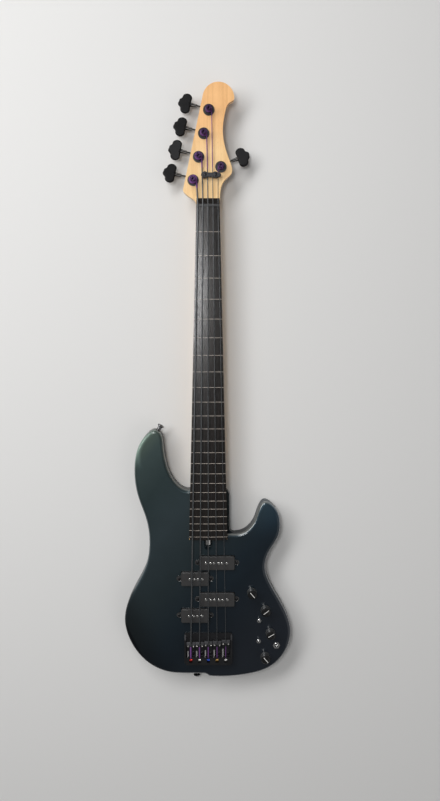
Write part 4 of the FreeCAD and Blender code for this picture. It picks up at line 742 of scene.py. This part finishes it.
class Turned:
    """Small turned shapes that stand on Z, as meshes.

    The steps of an eased edge go in and down by shares of the ease. A screw head's rim, crown and rise, and
    the half width and reach of its recess's mouth and floor, are shares of the head's radius or height.
    """

    SIDES = 28
    SHARP = math.radians(40.0)
    EASE_STEPS = ((0.0, 1.0), (0.3, 0.35), (1.0, 0.08))
    HEAD_STEPS = (0.25, 0.5, 0.75, 1.0)
    HEAD_RIM = 0.30
    HEAD_CROWN = 0.62
    HEAD_RISE = 0.66
    RECESS_MOUTH = (0.13, 0.47)
    RECESS_FLOOR = (0.08, 0.24)

    @classmethod
    def _rings(cls, bm: BMesh, profile: Sequence[Pair]) -> list[list[BMVert]]:
        """Rings of vertices for a profile of (radius, height), walled to one another."""
        turns = [2 * math.pi * k / cls.SIDES for k in range(cls.SIDES)]
        rings = [[bm.verts.new((r * math.cos(t), r * math.sin(t), z)) for t in turns] for r, z in profile]
        cls.wall(bm, rings)
        return rings

    @staticmethod
    def wall(bm: BMesh, rings: Sequence[Sequence[BMVert]]) -> None:
        """Join each closed ring of vertices to the next one with faces."""
        for low, high in zip(rings, rings[1:]):
            count = len(low)
            for k in range(count):
                nxt = (k + 1) % count
                bm.faces.new((low[k], low[nxt], high[nxt], high[k]))

    @classmethod
    def finished(cls, bm: BMesh, name: str) -> Mesh:
        """Close a bmesh into a mesh that is smooth apart from its sharp edges."""
        bmesh.ops.recalc_face_normals(bm, faces=bm.faces)
        for face in bm.faces:
            face.smooth = True
        for edge in bm.edges:
            edge.smooth = edge.is_manifold and edge.calc_face_angle() < cls.SHARP
        mesh = bpy.data.meshes.new(name)
        bm.to_mesh(mesh)
        bm.free()
        return mesh

    @classmethod
    def rod(cls, radius: float, length: float, ease: float) -> Mesh:
        """A rod whose top, at Z 0, is eased at its edge and faintly domed."""
        bm = bmesh.new()
        eased = [(radius - inward * ease, -down * ease) for inward, down in cls.EASE_STEPS]
        rings = cls._rings(bm, [(radius, -length), *eased, (radius / 2, 0.0)])
        bm.faces.new(rings[0][::-1])
        bm.faces.new(rings[-1])
        return cls.finished(bm, "rod")

    @classmethod
    def cross_head_screw(cls, head: float, height: float, shank: float, length: float) -> Mesh:
        """A domed screw: head over Z 0 with a tapered cross recess, shank below.

        Args:
            head: the head's radius.
            height: the head's height.
            shank: the shank's radius.
            length: the shank's length.

        Returns:
            The mesh.
        """
        bm = bmesh.new()
        dome = [(head, 0.0), (head, cls.HEAD_RIM * height)]
        for step in cls.HEAD_STEPS:
            lean = 0.5 * math.pi * step
            radius = head * (cls.HEAD_CROWN + (1 - cls.HEAD_CROWN) * math.cos(lean))
            dome.append((radius, height * (cls.HEAD_RIM + cls.HEAD_RISE * math.sin(lean))))
        rings = cls._rings(bm, [(shank, -length), (shank, 0.0), *dome])
        bm.faces.new(rings[0][::-1])
        rim = cls._cross(bm, *(head * share for share in cls.RECESS_MOUTH), height)
        floor = cls._cross(bm, *(head * share for share in cls.RECESS_FLOOR), cls.HEAD_RIM * height)
        cls.wall(bm, (rim, floor))
        bm.faces.new(floor)
        edges = [bm.edges.get(pair) for loop in (rings[-1], rim) for pair in zip(loop, loop[1:] + loop[:1])]
        bmesh.ops.triangle_fill(bm, use_beauty=True, edges=edges)
        return cls.finished(bm, "screw")

    @staticmethod
    def _cross(bm: BMesh, half: float, reach: float, z: float) -> list[BMVert]:
        """The twelve corners of a cross."""
        arm = ((reach, -half), (reach, half), (half, half))
        turns = ((1, 0), (0, 1), (-1, 0), (0, -1))
        return [bm.verts.new((c * x - s * y, s * x + c * y, z)) for c, s in turns for x, y in arm]


@dataclass(frozen=True)
class Site:
    """A place for a small repeated piece: where it stands, which way it faces, how it is turned."""

    place: Point
    facing: Point = (0.0, 0.0, 1.0)
    turn: float = 0.0


class SitePlacer:
    """A Geometry Nodes tree that sets one small mesh at each of a list of sites."""

    def __init__(self) -> None:
        """Build the tree."""
        kit = GroupKit("set at sites", {"Sites": "NodeSocketObject"})
        sites = kit.add("GeometryNodeObjectInfo", {"Object": kit.given["Sites"]}, output="Geometry")
        attribute = "GeometryNodeInputNamedAttribute"
        facing = kit.add(attribute, {"Name": "facing"}, {"data_type": "FLOAT_VECTOR"})
        turn = kit.add(attribute, {"Name": "turn"}, {"data_type": "FLOAT"})
        aimed = kit.add("FunctionNodeAlignRotationToVector", {"Vector": facing}, {"axis": "Z"})
        turned = {"Rotation": aimed, "Rotate By": kit.vector(0.0, 0.0, turn)}
        spun = kit.add("FunctionNodeRotateRotation", turned, {"rotation_space": "LOCAL"})
        copied = {"Points": sites, "Instance": kit.given["Geometry"], "Rotation": spun}
        copies = kit.add("GeometryNodeInstanceOnPoints", copied)
        kit.close(kit.add("GeometryNodeRealizeInstances", {"Geometry": copies}))
        self.kit = kit

    def piece(
        self,
        node: str,
        batches: Sequence[tuple[Mesh, Sequence[Site]]],
        finish: Finish,
        slot: str,
    ) -> None:
        """Make the piece that stands for a node of small repeated parts.

        Args:
            node: the CAD node.
            batches: each small mesh with its sites.
            finish: what they wear.
            slot: the node's material slot; not used.
        """
        bm = bmesh.new()
        for unit, sites in batches:
            bm.from_mesh(self._batch(unit, sites, finish))
        whole = bpy.data.meshes.new(node)
        bm.to_mesh(whole)
        bm.free()
        whole.materials.append(finish.material())
        stand_in(placed(node + "_set", whole), node)

    def _batch(self, unit: Mesh, sites: Sequence[Site], finish: Finish) -> Mesh:
        """One small mesh at its sites."""
        cloud = bpy.data.meshes.new("sites")
        cloud.from_pydata([site.place for site in sites], [], [])
        facing = cloud.attributes.new("facing", "FLOAT_VECTOR", "POINT")
        facing.data.foreach_set("vector", [value for site in sites for value in site.facing])
        turn = cloud.attributes.new("turn", "FLOAT", "POINT")
        turn.data.foreach_set("value", [site.turn for site in sites])
        marker = placed("sites", cloud)
        mesh = self.kit.bake(unit, {"Sites": marker, "Material": finish.material()})
        bpy.data.objects.remove(marker)
        return mesh


@dataclass(frozen=True)
class Strings:
    """Five strings, with their lay over the bridge and the nut."""

    names: tuple[str, ...] = ("b", "e", "a", "d", "g")
    scale: float = 0.8636
    bridge_step: float = 0.0175
    nut_step: float = 0.0097
    silk_from: tuple[float, ...] = (0.899, 0.938, 0.936, 0.938, 0.926)
    balls: tuple[Colour, ...] = (
        (0.42, 0.035, 0.030),
        (0.55, 0.54, 0.52),
        (0.035, 0.075, 0.36),
        (0.42, 0.26, 0.09),
        (0.55, 0.54, 0.52),
    )

    def x(self, index: int, y: float) -> float:
        """A string's distance from the centre line."""
        return (index - 2) * (self.bridge_step + (self.nut_step - self.bridge_step) * y / self.scale)

    def dress(self) -> None:
        """Give each string its winding, silk and ball end."""
        for name, silk_from, ball in zip(self.names, self.silk_from, self.balls):
            node = "string_" + name
            WoundString(node, silk_from=silk_from, ball=ball).dress(node)


@dataclass(frozen=True)
class Neck:
    """Neck, fingerboard, fret lines, nut and truss rod."""

    strings: Strings
    line_count: int = 24
    board_end: float = 0.2095
    end_half: float = 0.0380
    nut_half: float = 0.02275
    board_top: float = 0.0515
    board_radius: float = 0.400
    line_width: float = 0.0006
    line_depth: float = 0.0020
    line_steps: int = 16

    def build(self) -> None:
        """Make the lines along the board by the twelfth-root rule."""
        sizes = {
            "Scale Length": self.strings.scale,
            "Board End": self.board_end,
            "End Half": self.end_half,
            "Nut Half": self.nut_half,
            "Top": self.board_top,
            "Radius": self.board_radius,
        }
        kit = GroupKit("line row", {"Count": "NodeSocketInt", **dict.fromkeys(sizes, "NodeSocketFloat")})
        given = kit.given
        number = kit.add("GeometryNodeInputIndex") + 1.0
        y = given["Scale Length"] * 2.0 ** (number * (-1.0 / 12.0))
        share = (y - given["Board End"]) / (given["Scale Length"] - given["Board End"])
        half = given["End Half"] + (given["Nut Half"] - given["End Half"]) * share
        places = {"Count": given["Count"], "Position": kit.vector(0.0, y, given["Top"])}
        points = kit.add("GeometryNodePoints", places)
        copied = {"Points": points, "Instance": given["Geometry"], "Scale": kit.vector(half, 1.0, 1.0)}
        copies = kit.add("GeometryNodeInstanceOnPoints", copied)
        row = kit.add("GeometryNodeRealizeInstances", {"Geometry": copies})
        across = kit.add("ShaderNodeSeparateXYZ", {0: kit.add("GeometryNodeInputPosition")})
        sag = across * across / (given["Radius"] * -2.0)
        drop = kit.vector(0.0, 0.0, sag)
        kit.close(kit.add("GeometryNodeSetPosition", {"Geometry": row, "Offset": drop}))
        values = {"Count": self.line_count, **sizes, "Material": Palette.LINE.material()}
        stand_in(placed("line_row", kit.bake(self._line(), values)), "fret_lines")

    def _line(self) -> Mesh:
        """One line from X -1 to 1: a flat strip in steps, so that it can follow the board's crown."""
        half = self.line_width / 2
        section = ((-half, -self.line_depth), (half, -self.line_depth), (half, 0.0), (-half, 0.0))
        places = [2 * step / self.line_steps - 1 for step in range(self.line_steps + 1)]
        bm = bmesh.new()
        rings = [[bm.verts.new((x, y, z)) for y, z in section] for x in places]
        Turned.wall(bm, rings)
        bm.faces.new(rings[0])
        bm.faces.new(rings[-1])
        return Turned.finished(bm, "line")

    def dress(self) -> None:
        """Dress the wood, the nut and the rod."""
        Palette.MAPLE.dress("neck")
        Palette.BOARD.dress("fingerboard")
        Palette.NUT.dress("nut")
        Palette.STEEL.dress("truss_rod", "truss_nut")


@dataclass(frozen=True)
class Tuner:
    """Where one tuner stands and which way its key points."""

    centre: Pair
    angle: float
    side: int


@dataclass(frozen=True)
class Headstock:
    """Tuners, string retainer and their screws."""

    tuners: tuple[Tuner, ...] = (
        Tuner((-0.0290, 0.9150), 168.2, -1),
        Tuner((-0.0182, 0.9595), 168.2, -1),
        Tuner((-0.0083, 1.0040), 168.2, -1),
        Tuner((0.0015, 1.0485), 168.2, -1),
        Tuner((0.0250, 0.9405), 19.1, 1),
    )
    worm_offset: float = 0.0080
    key_colour: Colour = (0.014, 0.014, 0.0145)
    plate_face: float = 0.0248
    plate_screws: tuple[Pair, ...] = ((0.009, -0.0075), (-0.0075, -0.007))
    plate_screw_turn: float = 3.1
    bar_screws: tuple[Point, ...] = ((-0.0062, 0.924, 0.051), (0.0142, 0.924, 0.051))
    bar_screw_turns: tuple[float, ...] = (0.5, 1.2)

    def build(self, placer: SitePlacer) -> None:
        """Make the screws of the retainer and of the tuner plates."""
        plates = []
        for tuner in self.tuners:
            turn = math.radians(tuner.angle)
            for number, (x, y) in enumerate(self.plate_screws):
                y = y * tuner.side
                place = (
                    tuner.centre[0] + x * math.cos(turn) - y * math.sin(turn),
                    tuner.centre[1] + x * math.sin(turn) + y * math.cos(turn),
                    self.plate_face,
                )
                plates.append(Site(place, DOWN, turn * self.plate_screw_turn + number))
        bar = [Site(place, turn=turn) for place, turn in zip(self.bar_screws, self.bar_screw_turns)]
        large = Turned.cross_head_screw(head=3.4 * MM, height=2.0 * MM, shank=1.5 * MM, length=19.5 * MM)
        small = Turned.cross_head_screw(head=2.6 * MM, height=1.6 * MM, shank=1.3 * MM, length=9.0 * MM)
        placer.piece("headstock_screws", ((large, bar), (small, plates)), Palette.BLACK, "black_metal")

    def dress(self) -> None:
        """Dress the tuners and the retainer."""
        for number, tuner in enumerate(self.tuners, 1):
            finish = KeyMetal(
                f"tuner_key_{number}", roughness=0.46, metallic=0.9, colour=self.key_colour, mottle=0.25,
                site=tuner.centre, angle=tuner.angle, axis_aside=tuner.side * self.worm_offset)
            finish.dress(finish.name)
            Palette.POST.dress(f"tuner_post_{number}")
        Palette.BLACK.dress("tuner_plates", "tuner_bushings", "string_retainer")


@dataclass(frozen=True)
class Bridge:
    """Bridge plate, saddles and screws."""

    strings: Strings
    setbacks: tuple[float, ...] = (0.0050, 0.0043, 0.0028, 0.0022, 0.0005)
    screw_aside: float = 0.005
    screw_y: float = -0.0225
    screw_level: float = 0.0442
    screw_turn: float = 0.9

    def build(self, placer: SitePlacer) -> None:
        """Make the wood screws."""
        sites = []
        for k in range(len(self.strings.names)):
            x = self.strings.x(k, 0.0) + self.screw_aside
            sites.append(Site((x, self.screw_y, self.screw_level), turn=self.screw_turn * k))
        unit = Turned.cross_head_screw(head=3.4 * MM, height=1.6 * MM, shank=1.9 * MM, length=23.0 * MM)
        placer.piece("bridge_screws", ((unit, sites),), Palette.BLACK, "black_metal")

    def dress(self) -> None:
        """Dress the plate, the saddles and the intonation screws."""
        plating = Palette.BLACK
        plating.dress("bridge_plate")
        for k, setback in enumerate(self.setbacks):
            site = (self.strings.x(k, -setback), -setback)
            finish = SaddleMetal(
                f"saddle_{k + 1}", plating.roughness, plating.metallic, colour=plating.colour,
                mottle=plating.mottle, site=site)
            finish.dress(finish.name)
            Palette.STEEL.dress(f"intonation_screw_{k + 1}")


@dataclass(frozen=True)
class PickupHalf:
    """One half of a split pickup: its middle, its length and the strings over it."""

    middle: Pair
    length: float
    strings: tuple[int, ...]


@dataclass(frozen=True)
class Pickups:
    """Two split pickups."""

    strings: Strings
    halves: tuple[PickupHalf, ...] = (
        PickupHalf((-0.0265, 0.1295), 0.0555, (0, 1)),
        PickupHalf((0.0176, 0.1620), 0.0700, (2, 3, 4)),
        PickupHalf((-0.0265, 0.0545), 0.0555, (0, 1)),
        PickupHalf((0.0176, 0.0875), 0.0700, (2, 3, 4)),
    )
    pole_offset: float = 0.0046
    pole_radius: float = 0.0024
    pole_top: float = 0.0494
    pole_length: float = 0.0182
    pole_ease: float = 0.0005
    ear_reach: float = 0.0042
    ear_top: float = 0.04205
    screw_turn: Pair = (0.4, 1.3)

    def build(self, placer: SitePlacer) -> None:
        """Make the pole pieces and the screws."""
        poles, screws = [], []
        for number, half in enumerate(self.halves):
            middle, along = half.middle
            for k in half.strings:
                for offset in (-self.pole_offset, self.pole_offset):
                    poles.append(Site((self.strings.x(k, along) + offset, along, self.pole_top)))
            for side in (-1, 1):
                x = middle + side * (half.length / 2 + self.ear_reach)
                turn = self.screw_turn[0] + self.screw_turn[1] * number + side
                screws.append(Site((x, along, self.ear_top), turn=turn))
        rod = Turned.rod(self.pole_radius, self.pole_length, self.pole_ease)
        screw = Turned.cross_head_screw(head=2.9 * MM, height=1.8 * MM, shank=1.9 * MM, length=17.0 * MM)
        placer.piece("pickup_poles", ((rod, poles),), Palette.STEEL, "steel")
        placer.piece("pickup_screws", ((screw, screws),), Palette.BLACK, "steel")

    def dress(self) -> None:
        """Dress the covers and what is under them."""
        Palette.PICKUP.dress("pickup_covers")
        Palette.COIL.dress("pickup_coils")
        Palette.LEAD.dress("pickup_leads")


@dataclass(frozen=True)
class BodyShell:
    """Body, its back cover and what is bolted to it."""

    cover_screws: tuple[Pair, ...] = ((0.0763, 0.115), (0.1375, 0.0452), (0.1108, -0.0486), (0.0849, 0.022))
    cover_level: float = 0.0012
    cover_screw_turn: float = 1.1
    bolts: tuple[Pair, ...] = ((-0.025, 0.2245), (0.025, 0.2245), (-0.022, 0.2875), (0.022, 0.2875))
    bolt_level: float = 0.0032
    bolt_turn: float = 0.8

    def build(self, placer: SitePlacer) -> None:
        """Make the cover's screws and the neck's bolts."""
        small = Turned.cross_head_screw(head=2.4 * MM, height=1.0 * MM, shank=1.4 * MM, length=12.0 * MM)
        large = Turned.cross_head_screw(head=4.5 * MM, height=2.6 * MM, shank=2.5 * MM, length=34.8 * MM)
        cover = self._row(self.cover_screws, self.cover_level, self.cover_screw_turn)
        bolts = self._row(self.bolts, self.bolt_level, self.bolt_turn)
        placer.piece("cover_screws", ((small, cover),), Palette.BLACK, "black_metal")
        placer.piece("neck_bolts", ((large, bolts),), Palette.STEEL, "steel")

    @staticmethod
    def _row(places: Sequence[Pair], level: float, turn: float) -> list[Site]:
        """Sites on the back, each turned on from the last."""
        return [Site((x, y, level), DOWN, turn * k) for k, (x, y) in enumerate(places)]

    def dress(self) -> None:
        """Dress the body and its fittings."""
        Palette.LACQUER.dress("body")
        Palette.COVER.dress("control_cover")
        Palette.BLACK.dress("neck_ferrules")
        Palette.BUTTON.dress("strap_buttons")


@dataclass(frozen=True)
class Controls:
    """Knobs, switches, jack and the parts in the cavity."""

    knobs: tuple[tuple[Pair, float], ...] = (
        ((0.0875, 0.1010), -50.0),
        ((0.1148, 0.0650), 38.0),
        ((0.1250, 0.0180), 31.0),
        ((0.1146, -0.0310), -49.0),
    )

    def dress(self) -> None:
        """Dress all of it."""
        for number, (site, angle) in enumerate(self.knobs, 1):
            finish = PointerKnob(f"knob_{number}", roughness=0.27, metallic=0.85, site=site, angle=angle)
            finish.dress(finish.name)
        Palette.CHROME.dress("switches", "switch_lever_1", "switch_lever_2", "output_jack", "control_nuts")
        Palette.STEEL.dress("pots")
        Palette.CIRCUIT.dress("preamp_board")
        Palette.BATTERY.dress("battery")


@dataclass(frozen=True)
class Lamp:
    """A soft lamp, so wide and so high, that faces the guitar's middle."""

    name: str
    place: Point
    wide: float
    high: float
    power: float
    aim: Point = (0.0, 0.45, 0.0)

    def build(self) -> None:
        """Hang the lamp."""
        data = bpy.data.lights.new(self.name, "AREA")
        data.shape = "RECTANGLE"
        data.size = self.wide
        data.size_y = self.high
        data.energy = self.power
        lamp = placed(self.name, data)
        lamp.location = self.place
        heading = Vector(self.aim) - Vector(self.place)
        lamp.rotation_euler = heading.to_track_quat("-Z", "Y").to_euler()


@dataclass(frozen=True)
class Studio:
    """Floor, lamps, world and the camera at the photograph's place."""

    eye: Point = (0.01005, 0.59668, 1.61796)
    turn: Point = (-0.06935, -0.008435, 0.000326)
    lens: float = 35.955
    sensor: float = 36.0
    floor_half: float = 6.0
    floor_level: float = -0.0003
    floor_colour: Colour = (0.72, 0.715, 0.705)
    sky: float = 0.17
    lamps: tuple[Lamp, ...] = (
        Lamp("key", (-1.35, 1.75, 1.80), 2.8, 0.8, 51.0),
        Lamp("sheen", (-0.36, 0.87, 2.35), 0.46, 0.46, 15.0),
        Lamp("fill", (1.6, -0.5, 1.8), 1.6, 1.6, 5.0),
    )

    def build(self) -> None:
        """Make all of it."""
        self._floor()
        self._world()
        for lamp in self.lamps:
            lamp.build()
        self._camera()

    def _floor(self) -> None:
        """A plain pale floor just under the back."""
        mesh = bpy.data.meshes.new("floor")
        half = self.floor_half
        corners = [(x * half, y * half, self.floor_level) for x, y in ((-1, -1), (1, -1), (1, 1), (-1, 1))]
        mesh.from_pydata(corners, [], [(0, 1, 2, 3)])
        paint = Moulding("floor_paint", 0.9, level=0.2, colour=self.floor_colour, speckle=0.012, relief=0.0)
        mesh.materials.append(paint.material())
        placed("floor", mesh)

    def _world(self) -> None:
        """Even pale light from all round."""
        world = bpy.data.worlds.new("studio")
        world.use_nodes = True
        background = world.node_tree.nodes["Background"]
        background.inputs["Color"].default_value = (1.0, 1.0, 1.0, 1.0)
        background.inputs["Strength"].default_value = self.sky
        bpy.context.scene.world = world
        bpy.context.scene.view_settings.view_transform = "Standard"

    def _camera(self) -> None:
        """The photograph's camera."""
        data = bpy.data.cameras.new("camera")
        data.sensor_width = self.sensor
        data.lens = self.lens
        camera = placed("camera", data)
        camera.location = self.eye
        camera.rotation_euler = Euler(self.turn, "XYZ")
        bpy.context.scene.camera = camera


def main() -> None:
    """Build and dress the guitar."""
    logging.basicConfig(level=logging.INFO, format="%(message)s")
    Studio().build()
    placer = SitePlacer()
    strings = Strings()
    neck = Neck(strings)
    neck.build()
    shell, headstock, bridge, pickups = BodyShell(), Headstock(), Bridge(strings), Pickups(strings)
    for part in (shell, headstock, bridge, pickups):
        part.build(placer)
    for part in (shell, neck, headstock, strings, bridge, pickups, Controls()):
        part.dress()


if __name__ == "__main__":
    main()
